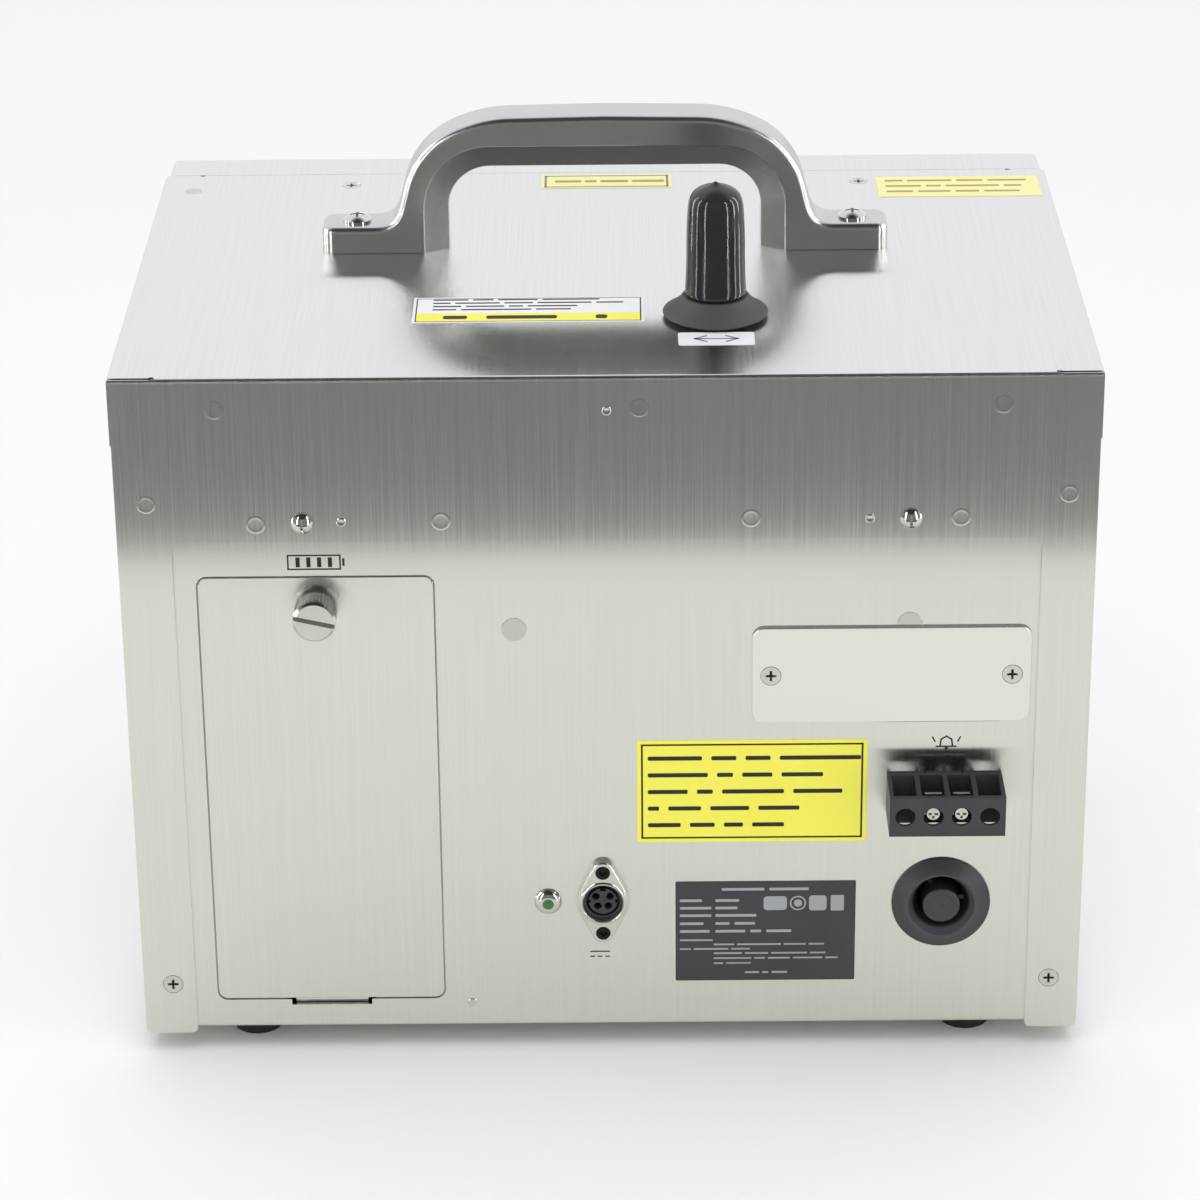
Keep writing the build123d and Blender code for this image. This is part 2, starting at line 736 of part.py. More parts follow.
# Inlet tube: straight through the cover, stepped down into the sensor block.
tube_foot = sensor_top - nipple - top_z
with BuildPart() as inlet_tube:
    turned(inlet_seat, [
        (inlet_bore_r, inlet_rise - inlet_funnel), (inlet_bore_r + 1.5, inlet_rise),
        (inlet_tube_r - inlet_edge, inlet_rise), (inlet_tube_r, inlet_rise - inlet_edge),
        (inlet_tube_r, -nipple), (inlet_throat_r, -nipple - 2.0), (inlet_throat_r, tube_foot),
        (inlet_bore_r - 1.0, tube_foot),
    ])
inlet_tube.part.label = "inlet_tube"
export_step(inlet_tube.part, "parts/inlet_tube.step")

# Rubber flange round the inlet, a low cone with a thin rim.
with BuildPart() as inlet_flange:
    flange_top_r = cap_foot_r + 1.0
    turned(inlet_seat, [
        (inlet_tube_r + inlet_gap, 0), (flange_r, 0), (flange_r, flange_rim), (flange_top_r, flange_rise),
        (inlet_tube_r + inlet_gap, flange_rise),
    ])
    rim = inlet_flange.edges().filter_by(GeomType.CIRCLE).sort_by(SortBy.RADIUS)[-2:]
    fillet(rim.sort_by(Axis.Z)[-1], radius=0.6)
inlet_flange.part.label = "inlet_flange"
export_step(inlet_flange.part, "parts/inlet_flange.step")

# Dip-moulded cap, closed by a dome with a drawn-out tip; it pulls off upwards.
cap_bore_r = inlet_tube_r + inlet_gap
with BuildPart() as inlet_cap:
    with BuildSketch(half_section(inlet_seat)) as cap_section:
        cap_foot = flange_rise + cap_seat
        with BuildLine():
            Line((cap_bore_r, cap_foot), (cap_foot_r, cap_foot))
            skirt = Line((cap_foot_r, cap_foot), (cap_shoulder_r, cap_skirt))
            dome = Spline(
                skirt @ 1, *[(share * cap_shoulder_r, height) for share, height in cap_dome],
                (cap_tip_r, cap_tip - cap_nib), tangents=((0, 1), (-0.7, 0.7)),
            )
            Line(dome @ 1, (0, cap_tip))
            Line((0, cap_tip), (0, inlet_rise + inlet_gap))
            Line((0, inlet_rise + inlet_gap), (cap_bore_r, inlet_rise + inlet_gap))
            Line((cap_bore_r, inlet_rise + inlet_gap), (cap_bore_r, cap_foot))
        make_face()
    revolve(axis=Axis(inlet_seat.origin, inlet_seat.z_dir))
inlet_cap.part.label = "inlet_cap"
export_step(inlet_cap.part, "parts/inlet_cap.step")

# Sensor shelf: a bridge of sheet standing on the tray.
with BuildPart() as sensor_shelf:
    shelf_half = sensor_size / 2 + shelf_side
    with BuildSketch(Plane.XZ.offset(-(inlet_y - sensor_size / 2))):
        with BuildLine():
            Polyline(
                (inlet_x - shelf_half - flange_in, floor_z), (inlet_x - shelf_half + sheet, floor_z),
                (inlet_x - shelf_half + sheet, shelf_z), (inlet_x + shelf_half - sheet, shelf_z),
                (inlet_x + shelf_half - sheet, floor_z), (inlet_x + shelf_half + flange_in, floor_z),
                (inlet_x + shelf_half + flange_in, floor_z + sheet), (inlet_x + shelf_half, floor_z + sheet),
                (inlet_x + shelf_half, shelf_top), (inlet_x - shelf_half, shelf_top),
                (inlet_x - shelf_half, floor_z + sheet), (inlet_x - shelf_half - flange_in, floor_z + sheet),
                close=True,
            )
        make_face()
    extrude(amount=-sensor_size)
sensor_shelf.part.label = "sensor_shelf"
export_step(sensor_shelf.part, "parts/sensor_shelf.step")

# Sensor block: the optical chamber, bored down for the sample and across for the beam.
with BuildPart() as sensor_block:
    with BuildSketch(Plane.XY.offset(shelf_top)):
        with Locations((inlet_x, inlet_y)):
            RectangleRounded(sensor_size, sensor_size, sensor_corner)
    extrude(amount=sensor_height)
    chamfer(sensor_block.faces().sort_by(Axis.Z)[-1].edges(), length=sensor_edge)
    with Locations((inlet_x, inlet_y, sensor_top)):
        CounterBoreHole(inlet_bore_r, inlet_throat_r + seam, nipple + seam, sensor_height - sensor_floor)
    with Locations(Plane((inlet_x - sensor_size / 2, inlet_y, sensor_mid), z_dir=(-1, 0, 0))):
        Hole(laser_r / 2, sensor_size)
sensor_block.part.label = "sensor_block"
export_step(sensor_block.part, "parts/sensor_block.step")

# Laser unit: a finned barrel on the right of the block.
laser_seat = Plane((inlet_x + sensor_size / 2, inlet_y, sensor_mid), x_dir=(0, 1, 0), z_dir=(1, 0, 0))
with BuildPart() as laser_unit:
    turned(laser_seat, [
        (0, 0), (laser_r + flange_out, 0), (laser_r + flange_out, flange_thick), (laser_r, flange_thick),
        (laser_r, laser_length), (0, laser_length),
    ])
laser_unit.part.label = "laser_unit"
export_step(laser_unit.part, "parts/laser_unit.step")

# Light trap: a hollow cone on the left of the block.
trap_seat = Plane((inlet_x - sensor_size / 2, inlet_y, sensor_mid), x_dir=(0, 1, 0), z_dir=(-1, 0, 0))
with BuildPart() as light_trap:
    turned(trap_seat, [
        (laser_r / 2, 0), (trap_r + flange_out, 0), (trap_r + flange_out, flange_thick),
        (trap_r, flange_thick), (trap_r, trap_length - trap_cone), (trap_tip_r, trap_length),
        (0, trap_length), (0, trap_length - trap_wall), (laser_r / 2, flange_thick),
    ])
light_trap.part.label = "light_trap"
export_step(light_trap.part, "parts/light_trap.step")

# Detector board on the front of the block.
with BuildPart() as detector_board:
    with BuildSketch(Plane.XZ.offset(-(inlet_y + sensor_size / 2))):
        with Locations((inlet_x, sensor_mid)):
            RectangleRounded(0.5 * sensor_size, 0.7 * sensor_height, 2.0)
    extrude(amount=-board)
    with BuildSketch(Plane.XZ.offset(-(inlet_y + sensor_size / 2 + board))):
        with Locations((inlet_x, sensor_mid)):
            Rectangle(can_width, can_height)
    extrude(amount=-can_deep)
detector_board.part.label = "detector_board"
export_step(detector_board.part, "parts/detector_board.step")

# Exhaust filter: a capsule lying behind the port, its rear nipple in the port's tail.
port_seat = rear_plane(port_x, port_drop)
port_z = top_z - port_drop
filter_rear = panel_y + port_tail + filter_gap
filter_seat = Plane((port_x, filter_rear, port_z), x_dir=(1, 0, 0), z_dir=(0, 1, 0))
with BuildPart() as exhaust_filter:
    turned(filter_seat, [
        (0, -filter_barb), (filter_barb_r, -filter_barb), (filter_barb_r, 0), (filter_r - filter_edge, 0),
        (filter_r, filter_edge), (filter_r, filter_length - filter_edge),
        (filter_r - filter_edge, filter_length),
        (nipple_r, filter_length), (nipple_r, filter_length + nipple), (0, filter_length + nipple),
    ])
exhaust_filter.part.label = "exhaust_filter"
export_step(exhaust_filter.part, "parts/exhaust_filter.step")

# Saddle under the filter.
with BuildPart() as filter_saddle:
    with BuildSketch(Plane.XZ.offset(-(filter_rear + filter_length / 2 - saddle_length / 2))):
        with Locations((port_x, (floor_z + port_z) / 2)):
            Rectangle(1.2 * filter_r, port_z - floor_z)
        with Locations((port_x, port_z)):
            Circle(filter_r + seam, mode=Mode.SUBTRACT)
    extrude(amount=-saddle_length)
filter_saddle.part.label = "filter_saddle"
export_step(filter_saddle.part, "parts/filter_saddle.step")

# Exhaust port: one moulding, a cone round an annular slot, the core held by three webs.
with BuildPart() as exhaust_port:
    turned(port_seat, [
        (port_mouth_r, port_rise), (port_mouth_r + 0.6, port_rise), (port_rim_r, port_lip), (port_rim_r, 0),
        (port_tail_r, 0), (port_tail_r, -port_tail), (port_tail_r - port_wall, -port_tail),
        (port_tail_r - port_wall, -port_throat), (port_mouth_r - 1.2, 1.0),
    ])
    turned(port_seat, [
        (0, port_rise), (port_core_r - port_edge, port_rise), (port_core_r, port_rise - port_edge),
        (port_core_r, -port_core), (0, -port_core),
    ])
    with BuildSketch(port_seat.offset(-port_core)):
        with PolarLocations(port_tail_r / 2, 3):
            Rectangle(port_tail_r, port_web)
        Circle(port_tail_r - 0.5, mode=Mode.INTERSECT)
    extrude(amount=port_core - port_throat)
exhaust_port.part.label = "exhaust_port"
export_step(exhaust_port.part, "parts/exhaust_port.step")

# Pump on four rubber mounts, its motor flanged to the right side.
pump_foot = floor_z + mount_height
pump_top = pump_foot + pump_height
with BuildPart() as pump_mounts:
    with Locations((pump_x, pump_y, floor_z)):
        with GridLocations(pump_width - 2 * mount_r, pump_depth - 2 * mount_r, 2, 2):
            Cylinder(mount_r, mount_height, align=(Align.CENTER, Align.CENTER, Align.MIN))
pump_mounts.part.label = "pump_mounts"
export_step(pump_mounts.part, "parts/pump_mounts.step")

with BuildPart() as pump_head:
    with BuildSketch(Plane.XY.offset(pump_foot)):
        with Locations((pump_x, pump_y)):
            RectangleRounded(pump_width, pump_depth, pump_corner)
    extrude(amount=pump_height)
    chamfer(pump_head.faces().sort_by(Axis.Z)[-1].edges(), length=pump_edge)
    with BuildSketch(Plane.XY.offset(pump_top)):
        with Locations((pump_x, pump_y)):
            with GridLocations(pump_width - 2 * mount_r, 0, 2, 1):
                Circle(nipple_r)
    extrude(amount=nipple)
pump_head.part.label = "pump_head"
export_step(pump_head.part, "parts/pump_head.step")

motor_face = (pump_x + pump_width / 2, pump_y, pump_foot + pump_height / 2)
motor_seat = Plane(motor_face, x_dir=(0, 1, 0), z_dir=(1, 0, 0))
with BuildPart() as pump_motor:
    turned(motor_seat, [
        (0, 0), (motor_r - motor_edge, 0), (motor_r, motor_edge), (motor_r, motor_length - motor_edge),
        (motor_r - motor_edge, motor_length), (motor_boss_r, motor_length),
        (motor_boss_r, motor_length + motor_boss), (0, motor_length + motor_boss),
    ])
pump_motor.part.label = "pump_motor"
export_step(pump_motor.part, "parts/pump_motor.step")

# Hoses: sample from the sensor block to the pump, and pump to the filter.
outlet_y = inlet_y + sensor_size / 2
outlet_x = inlet_x - sensor_size / 2 + outlet_in
outlet_z = sensor_top - outlet_drop
pump_in = pump_x - (pump_width - 2 * mount_r) / 2
pump_out = pump_x + (pump_width - 2 * mount_r) / 2
filter_tail = filter_rear + filter_length
with BuildPart() as sensor_nipple:
    turned(Plane((outlet_x, outlet_y, outlet_z), x_dir=(1, 0, 0), z_dir=(0, 1, 0)), [
        (0, 0), (nipple_hex_r, 0), (nipple_hex_r, nipple_hex), (nipple_r, nipple_hex),
        (nipple_r, nipple_hex + nipple), (0, nipple_hex + nipple),
    ])
sensor_nipple.part.label = "sensor_nipple"
export_step(sensor_nipple.part, "parts/sensor_nipple.step")

sample_route = [
    (outlet_x, outlet_y + nipple_hex + 0.2, outlet_z),
    (outlet_x, outlet_y + 34.0, outlet_z),
    (outlet_x - 50.0, outlet_y + 62.0, outlet_z + 6.0),
    (pump_in, pump_y, outlet_z + 2.0),
    (pump_in, pump_y, pump_top + seam),
]
exhaust_route = [
    (pump_out, pump_y, pump_top + seam),
    (pump_out, pump_y, pump_top + 40.0),
    (pump_out + 60.0, pump_y + 6.0, pump_top + 44.0),
    (port_x - 40.0, pump_y + 10.0, pump_top + 30.0),
    (port_x, pump_y + 4.0, port_z),
    (port_x, filter_tail + seam, port_z),
]
for name, route, start_dir in (
    ("sample_hose", sample_route, (0, 1, 0)),
    ("exhaust_hose", exhaust_route, (0, 0, 1)),
):
    with BuildPart() as hose:
        with BuildLine() as path:
            FilletPolyline(*route, radius=hose_turn)
        with BuildSketch(Plane(route[0], z_dir=start_dir)):
            Circle(hose_r)
            Circle(hose_bore, mode=Mode.SUBTRACT)
        sweep(path=path.wire())
    hose.part.label = name
    export_step(hose.part, f"parts/{name}.step")

# ---------------------------------------------------------------- battery

# Door: a flush plate with a folded tab that hooks behind the rear panel; it tilts out about the tab.
hook_y = panel_back + hook_gap
with BuildPart() as battery_door:
    with BuildSketch(rear_plane(door_x, door_drop + door_height / 2)):
        RectangleRounded(door_width, door_height, door_corner)
    extrude(amount=-sheet)
    with BuildSketch(Plane.YZ.offset(door_x)):
        with BuildLine():
            Polyline(
                (panel_y, door_foot + 4 * sheet), (panel_y, door_foot), (hook_y, door_foot),
                (hook_y, door_foot - hook_drop), (hook_y + sheet, door_foot - hook_drop),
                (hook_y + sheet, door_foot + sheet), (panel_back, door_foot + sheet),
                (panel_back, door_foot + 4 * sheet), close=True,
            )
        make_face()
    extrude(amount=tab_width / 2, both=True)
    fillet(battery_door.faces().sort_by(Axis.Y)[0].outer_wire().edges(), radius=door_edge)
    with Locations(rear_plane(thumb_x, thumb_drop)):
        Hole(thumb_shank + thumb_clear, 2 * sheet)
battery_door.part.label = "battery_door"
export_step(battery_door.part, "parts/battery_door.step")

# Battery bay: a folded box with a rim behind the opening that the door rests on.
bay_foot = door_foot + door_rim
bay_top = door_top - door_rim
bay_half = door_width / 2 - door_rim
with BuildPart() as battery_bay:
    with BuildSketch(Plane.XZ.offset(-panel_back)):
        with Locations((door_x, (bay_foot + bay_top) / 2)):
            RectangleRounded(
                2 * (bay_half + bay_flange), bay_top - bay_foot + 2 * bay_flange, door_corner,
            )
    extrude(amount=-bay_wall)
    with BuildSketch(Plane.XZ.offset(-panel_back)):
        with Locations((door_x, (bay_foot + bay_top) / 2)):
            Rectangle(2 * (bay_half + bay_wall), bay_top - bay_foot + 2 * bay_wall)
    extrude(amount=-bay_depth)
    with BuildSketch(Plane.XZ.offset(-panel_back)):
        with Locations((door_x, (bay_foot + bay_top) / 2)):
            Rectangle(2 * bay_half, bay_top - bay_foot)
    extrude(amount=-(bay_depth - bay_wall), mode=Mode.SUBTRACT)
    # room for the door's hook to swing
    with Locations((door_x, panel_back, door_foot - bay_flange)):
        Box(
            tab_width + 4 * tab_relief, 2 * (hook_drop + 3.0), 2 * (bay_flange + door_rim + 0.5),
            mode=Mode.SUBTRACT,
        )
battery_bay.part.label = "battery_bay"
export_step(battery_bay.part, "parts/battery_bay.step")

# Catch: an angle under the bay's roof with a nut for the thumb screw.
catch_y = panel_back + catch_gap
with BuildPart() as door_catch:
    with BuildSketch(Plane.YZ.offset(thumb_x)):
        with BuildLine():
            Polyline(
                (catch_y, bay_top), (catch_y, bay_top - catch_height),
                (catch_y + catch_plate, bay_top - catch_height),
                (catch_y + catch_plate, bay_top - catch_plate),
                (catch_y + catch_foot, bay_top - catch_plate), (catch_y + catch_foot, bay_top), close=True,
            )
        make_face()
    extrude(amount=catch_width / 2, both=True)
    catch_face = rear_plane(thumb_x, thumb_drop, catch_y)
    with BuildSketch(catch_face.offset(-catch_plate)):
        Circle(catch_nut_r)
    extrude(amount=-catch_nut)
    with Locations(catch_face):
        Hole(thumb_shank + thumb_clear, 3 * catch_nut)
door_catch.part.label = "door_catch"
export_step(door_catch.part, "parts/door_catch.step")

# Battery pack, resting on the bay's floor.
with BuildPart() as battery_pack:
    with BuildSketch(Plane.XY.offset(bay_foot)):
        with Locations((door_x, panel_back + battery_back + battery_depth / 2)):
            RectangleRounded(2 * (bay_half - battery_gap), battery_depth, battery_corner)
    extrude(amount=battery_height)
    fillet(battery_pack.faces().sort_by(Axis.Z)[-1].edges(), radius=battery_edge)
battery_pack.part.label = "battery_pack"
export_step(battery_pack.part, "parts/battery_pack.step")

# Thumb screw: knurled head with a straight slot, a neck on the door and a plain shank to the catch.
thumb_seat = rear_plane(thumb_x, thumb_drop)
thumb_length = sheet + catch_gap + thumb_engage
clip_rest = sheet + screw_travel + 0.3
groove_end = clip_rest + clip_thick + 2 * clip_gap
groove_r = thumb_shank - thumb_groove
with BuildPart() as thumb_screw:
    turned(thumb_seat, [
        (0, thumb_neck + thumb_head), (thumb_head_r - thumb_chamfer, thumb_neck + thumb_head),
        (thumb_head_r, thumb_neck + thumb_head - thumb_chamfer), (thumb_head_r, thumb_neck + thumb_edge),
        (thumb_head_r - thumb_edge, thumb_neck), (thumb_neck_r, thumb_neck), (thumb_neck_r, seam),
        (thumb_shank, seam), (thumb_shank, -clip_rest), (groove_r, -clip_rest), (groove_r, -groove_end),
        (thumb_shank, -groove_end), (thumb_shank, -thumb_length), (0, -thumb_length),
    ])
    with BuildSketch(thumb_seat.offset(thumb_neck)):
        with PolarLocations(thumb_head_r, knurl_count):
            RegularPolygon(knurl_deep, 3, rotation=180)
    extrude(amount=thumb_head - thumb_chamfer, mode=Mode.SUBTRACT)
    with BuildSketch(thumb_seat.offset(thumb_neck + thumb_head - thumb_slot_deep)):
        Rectangle(3 * thumb_head_r, thumb_slot, rotation=-thumb_slot_tilt)
    extrude(amount=2 * thumb_slot_deep, mode=Mode.SUBTRACT)
thumb_screw.part.label = "thumb_screw"
export_step(thumb_screw.part, "parts/thumb_screw.step")

# Retaining clip in the shank's groove; it keeps the screw captive in the door.
with BuildPart() as screw_clip:
    with BuildSketch(thumb_seat.offset(-clip_rest - clip_gap)):
        Circle(clip_r)
        Circle(groove_r + clip_gap, mode=Mode.SUBTRACT)
        with Locations((0, -clip_r)):
            Rectangle(clip_mouth, 2 * clip_r, mode=Mode.SUBTRACT)
    extrude(amount=-clip_thick)
screw_clip.part.label = "screw_clip"
export_step(screw_clip.part, "parts/screw_clip.step")

# ---------------------------------------------------------------- rear fittings

# Blank plate over the option window.
with BuildPart() as option_plate:
    with BuildSketch(rear_plane(option_x, option_drop)):
        RectangleRounded(option_width, option_height, option_corner)
    extrude(amount=sheet)
    fillet(option_plate.faces().sort_by(Axis.Y)[0].edges(), radius=0.3)
    with Locations(rear_plane(option_x, option_drop).offset(sheet)):
        with GridLocations(option_pitch, 0, 2, 1):
            CounterSinkHole(m3_shank + shank_gap, flat_head + seam, 2 * sheet)
option_plate.part.label = "option_plate"
export_step(option_plate.part, "parts/option_plate.step")

# Terminal block: a row of open wells, each with a screw bore from the rear.
block_seat = rear_plane(block_x, block_drop)
block_z = top_z - block_drop
block_face = block_seat.offset(block_proud)
tail_width = block_width - 2 * block_wall
tail_height = block_height - 2 * block_wall
with BuildPart() as terminal_block:
    with BuildSketch(block_seat):
        Rectangle(block_width, block_height)
    extrude(amount=block_proud)
    with BuildSketch(block_seat):
        Rectangle(tail_width, tail_height)
    extrude(amount=-block_tail)
    with BuildSketch(Plane.XY.offset(block_z + block_height / 2)):
        with Locations((block_x, panel_y - block_proud / 2)):
            with GridLocations(block_pitch, 0, block_ways, 1):
                Rectangle(block_pitch - block_wall, block_proud - 2 * block_wall)
    extrude(amount=-well_depth, mode=Mode.SUBTRACT)
    with BuildSketch(block_face):
        with GridLocations(block_pitch, 0, block_ways, 1):
            Circle(bore_r)
    extrude(amount=-bore_deep, mode=Mode.SUBTRACT)
terminal_block.part.label = "terminal_block"
export_step(terminal_block.part, "parts/terminal_block.step")

# Contact strips along the floor of each bore.
with BuildPart() as terminal_contacts:
    with BuildSketch(block_face.offset(-clamp_head_back / 2)):
        with GridLocations(block_pitch, 0, block_ways, 1):
            Circle(bore_r - clip_gap)
        with Locations((0, contact_rise)):
            Rectangle(block_width, 2 * bore_r, mode=Mode.SUBTRACT)
    extrude(amount=-(bore_deep - clamp_head_back / 2))
terminal_contacts.part.label = "terminal_contacts"
export_step(terminal_contacts.part, "parts/terminal_contacts.step")

# The two middle ways carry a screw and a clamp plate each.
for name, side in (("left", -1), ("right", 1)):
    way_x = block_x + side * block_pitch / 2
    way_seat = rear_plane(way_x, block_drop - clamp_rise).offset(block_proud - clamp_head_back - clamp_head)
    with BuildPart() as terminal_screw:
        turned(way_seat, [
            (0, clamp_head), (clamp_head_r - clamp_edge, clamp_head),
            (clamp_head_r, clamp_head - clamp_edge), (clamp_head_r, 0), (clamp_shank_r, 0),
            (clamp_shank_r, -clamp_shank_l), (0, -clamp_shank_l),
        ])
        cross_recess(way_seat, clamp_head, 0.62 * clamp_head_r, 0.8)
    terminal_screw.part.label = f"terminal_screw_{name}"
    export_step(terminal_screw.part, f"parts/terminal_screw_{name}.step")

    with BuildPart() as terminal_clamp:
        with BuildSketch(way_seat.offset(-clamp_gap)):
            with Locations((0, (clamp_high - clamp_low) / 2)):
                Rectangle(clamp_width, clamp_high + clamp_low)
            Circle(clamp_shank_r + clamp_gap, mode=Mode.SUBTRACT)
        extrude(amount=-clamp_thick)
    terminal_clamp.part.label = f"terminal_clamp_{name}"
    export_step(terminal_clamp.part, f"parts/terminal_clamp_{name}.step")

# Board behind the panel that carries the terminal block.
with BuildPart() as terminal_board:
    with BuildSketch(block_seat.offset(-block_tail)):
        RectangleRounded(block_width + block_margin, block_height + block_margin, 2.0)
    extrude(amount=-board)
terminal_board.part.label = "terminal_board"
export_step(terminal_board.part, "parts/terminal_board.step")

# Power socket: rhombic flange, round insert with keyways and four contacts.
socket_seat = rear_plane(socket_x, socket_drop)
with BuildPart() as socket_flange:
    with BuildSketch(socket_seat):
        Circle(socket_r)
        with GridLocations(0, socket_pitch, 1, 2):
            Circle(socket_ear_r)
        make_hull()
        Circle(socket_insert_r, mode=Mode.SUBTRACT)
    extrude(amount=socket_plate)
    outline = socket_flange.faces().sort_by(Axis.Y)[0].outer_wire().edges()
    fillet(outline, radius=0.5)
    with Locations(socket_seat.offset(socket_plate)):
        with GridLocations(0, socket_pitch, 1, 2):
            CounterSinkHole(m2_shank + shank_gap, socket_head + seam, 2 * socket_plate)
socket_flange.part.label = "socket_flange"
export_step(socket_flange.part, "parts/socket_flange.step")

pin_places = [
    (side * pitch / 2, row * pin_rows / 2)
    for row, pitch in ((1, pin_top_pitch), (-1, pin_low_pitch))
    for side in (-1, 1)
]
insert_face = socket_plate - socket_sunk
groove_out_r = socket_insert_r - 1.0
groove_in_r = socket_insert_r - 1.8
with BuildPart() as socket_insert:
    with BuildSketch(socket_seat.offset(-socket_insert_back)):
        Circle(socket_insert_r - clip_gap)
    extrude(amount=socket_insert_back + insert_face)
    with BuildSketch(socket_seat.offset(insert_face)):
        Circle(groove_out_r)
        Circle(groove_in_r, mode=Mode.SUBTRACT)
        with Locations((0, groove_in_r)):
            Rectangle(1.6 * socket_key, 1.6 * socket_key)
        with GridLocations(2 * groove_in_r, 0, 2, 1):
            Rectangle(socket_key, socket_key)
    extrude(amount=-socket_groove, mode=Mode.SUBTRACT)
    with BuildSketch(socket_seat.offset(insert_face)):
        with Locations(*pin_places):
            Circle(pin_r + pin_wall)
    extrude(amount=-pin_deep, mode=Mode.SUBTRACT)
socket_insert.part.label = "socket_insert"
export_step(socket_insert.part, "parts/socket_insert.step")

with BuildPart() as socket_contacts:
    with BuildSketch(socket_seat.offset(insert_face - socket_sunk)):
        with Locations(*pin_places):
            Circle(pin_r + pin_wall - clip_gap)
            Circle(pin_r - pin_wall, mode=Mode.SUBTRACT)
    extrude(amount=-(pin_deep - socket_sunk))
socket_contacts.part.label = "socket_contacts"
export_step(socket_contacts.part, "parts/socket_contacts.step")

with BuildPart() as socket_screws:
    for side in (-1, 1):
        seat = rear_plane(socket_x, socket_drop + side * socket_pitch / 2).offset(socket_plate)
        flat_screw(seat, socket_head, m2_shank, socket_plate + 2 * sheet)
socket_screws.part.label = "socket_screws"
export_step(socket_screws.part, "parts/socket_screws.step")

# Indicator: a domed bezel with a threaded barrel and a lens at its top.
lamp_seat = rear_plane(lamp_x, lamp_drop)
lens_top = lamp_rise + lamp_edge
bezel_bore_r = lamp_lens_r + clip_gap
with BuildPart() as indicator_bezel:
    with BuildSketch(half_section(lamp_seat)):
        with BuildLine():
            Polyline(
                (bezel_bore_r, lamp_rise), (bezel_bore_r, -lamp_barrel), (lamp_barrel_r, -lamp_barrel),
                (lamp_barrel_r, 0), (lamp_bezel_r, 0), (lamp_bezel_r, lamp_edge),
            )
            ThreePointArc(
                (lamp_bezel_r, lamp_edge), (0.8 * lamp_bezel_r, 0.72 * lamp_rise), (bezel_bore_r, lamp_rise),
            )
        make_face()
    revolve(axis=Axis(lamp_seat.origin, lamp_seat.z_dir))
indicator_bezel.part.label = "indicator_bezel"
export_step(indicator_bezel.part, "parts/indicator_bezel.step")

with BuildPart() as indicator_lens:
    with BuildSketch(half_section(lamp_seat)):
        with BuildLine():
            side = Polyline(
                (0, lens_top), (0, -lamp_barrel), (lamp_lens_r, -lamp_barrel), (lamp_lens_r, lamp_rise),
            )
            ThreePointArc(side @ 1, cap_middle(lamp_lens_r, lamp_rise, lamp_edge), side @ 0)
        make_face()
    revolve(axis=Axis(lamp_seat.origin, lamp_seat.z_dir))
indicator_lens.part.label = "indicator_lens"
export_step(indicator_lens.part, "parts/indicator_lens.step")

# ---------------------------------------------------------------- front fittings

front_seat = Plane((0, front_y, 0), x_dir=(1, 0, 0), z_dir=(0, -1, 0))
pan_back = sheet                      # depth of the panel's inner face behind its front
with BuildPart() as display_lens:
    with BuildSketch(front_seat):
        with Locations((window_x, window_z)):
            lens_width = window_width - 2 * lens_gap
            lens_height = window_height - 2 * lens_gap
            RectangleRounded(lens_width, lens_height, window_corner - lens_gap)
    extrude(amount=pan_back)
    with BuildSketch(front_seat.offset(pan_back)):
        with Locations((window_x, window_z)):
            RectangleRounded(window_width + 2 * lens_rim, window_height + 2 * lens_rim, window_corner)
    extrude(amount=sheet)
display_lens.part.label = "display_lens"
export_step(display_lens.part, "parts/display_lens.step")

with BuildPart() as display_module:
    with BuildSketch(front_seat.offset(pan_back + sheet)):
        with Locations((window_x, window_z)):
            Rectangle(window_width + 2 * lens_rim, window_height + 2 * lens_rim)
    extrude(amount=display_deep)
display_module.part.label = "display_module"
export_step(display_module.part, "parts/display_module.step")

button_seat = Plane((button_x, front_y, button_z), x_dir=(-1, 0, 0), z_dir=(0, 1, 0))
rim_back = pan_back + button_rim
with BuildPart() as power_button:
    turned(button_seat, [
        (0, button_proud), (button_r - button_edge, button_proud), (button_r, button_proud - button_edge),
        (button_r, -pan_back), (button_r + button_collar, -pan_back), (button_r + button_collar, -rim_back),
        (button_r / 2, -rim_back), (button_r / 2, -rim_back - button_cap), (0, -rim_back - button_cap),
    ])
power_button.part.label = "power_button"
export_step(power_button.part, "parts/power_button.step")

# Switch housing behind the panel; the collar moves in its bore.
with BuildPart() as power_switch:
    with BuildSketch(button_seat.offset(-pan_back)):
        RectangleRounded(switch_size, switch_size, 2.0)
    extrude(amount=-switch_deep)
    with BuildSketch(button_seat.offset(-pan_back)):
        Circle(button_r + button_collar + button_gap)
    extrude(amount=-(button_rim + 2 * button_travel), mode=Mode.SUBTRACT)
    with BuildSketch(button_seat.offset(-pan_back)):
        Circle(button_r / 2 + button_gap)
    extrude(amount=-(switch_deep - sheet), mode=Mode.SUBTRACT)
power_switch.part.label = "power_switch"
export_step(power_switch.part, "parts/power_switch.step")

# ---------------------------------------------------------------- boards

board_sets = (
    ("main_board", main_x, main_y, main_width, main_depth),
    ("power_board", inlet_x, inlet_y, power_width, power_depth),
)
with BuildPart() as board_posts:
    for name, x, y, width, depth in board_sets:
        with Locations((x, y, floor_z)):
            with GridLocations(width - 2 * post_in, depth - 2 * post_in, 2, 2):
                Cylinder(post_r, post_height, align=(Align.CENTER, Align.CENTER, Align.MIN))
board_posts.part.label = "board_posts"
export_step(board_posts.part, "parts/board_posts.step")

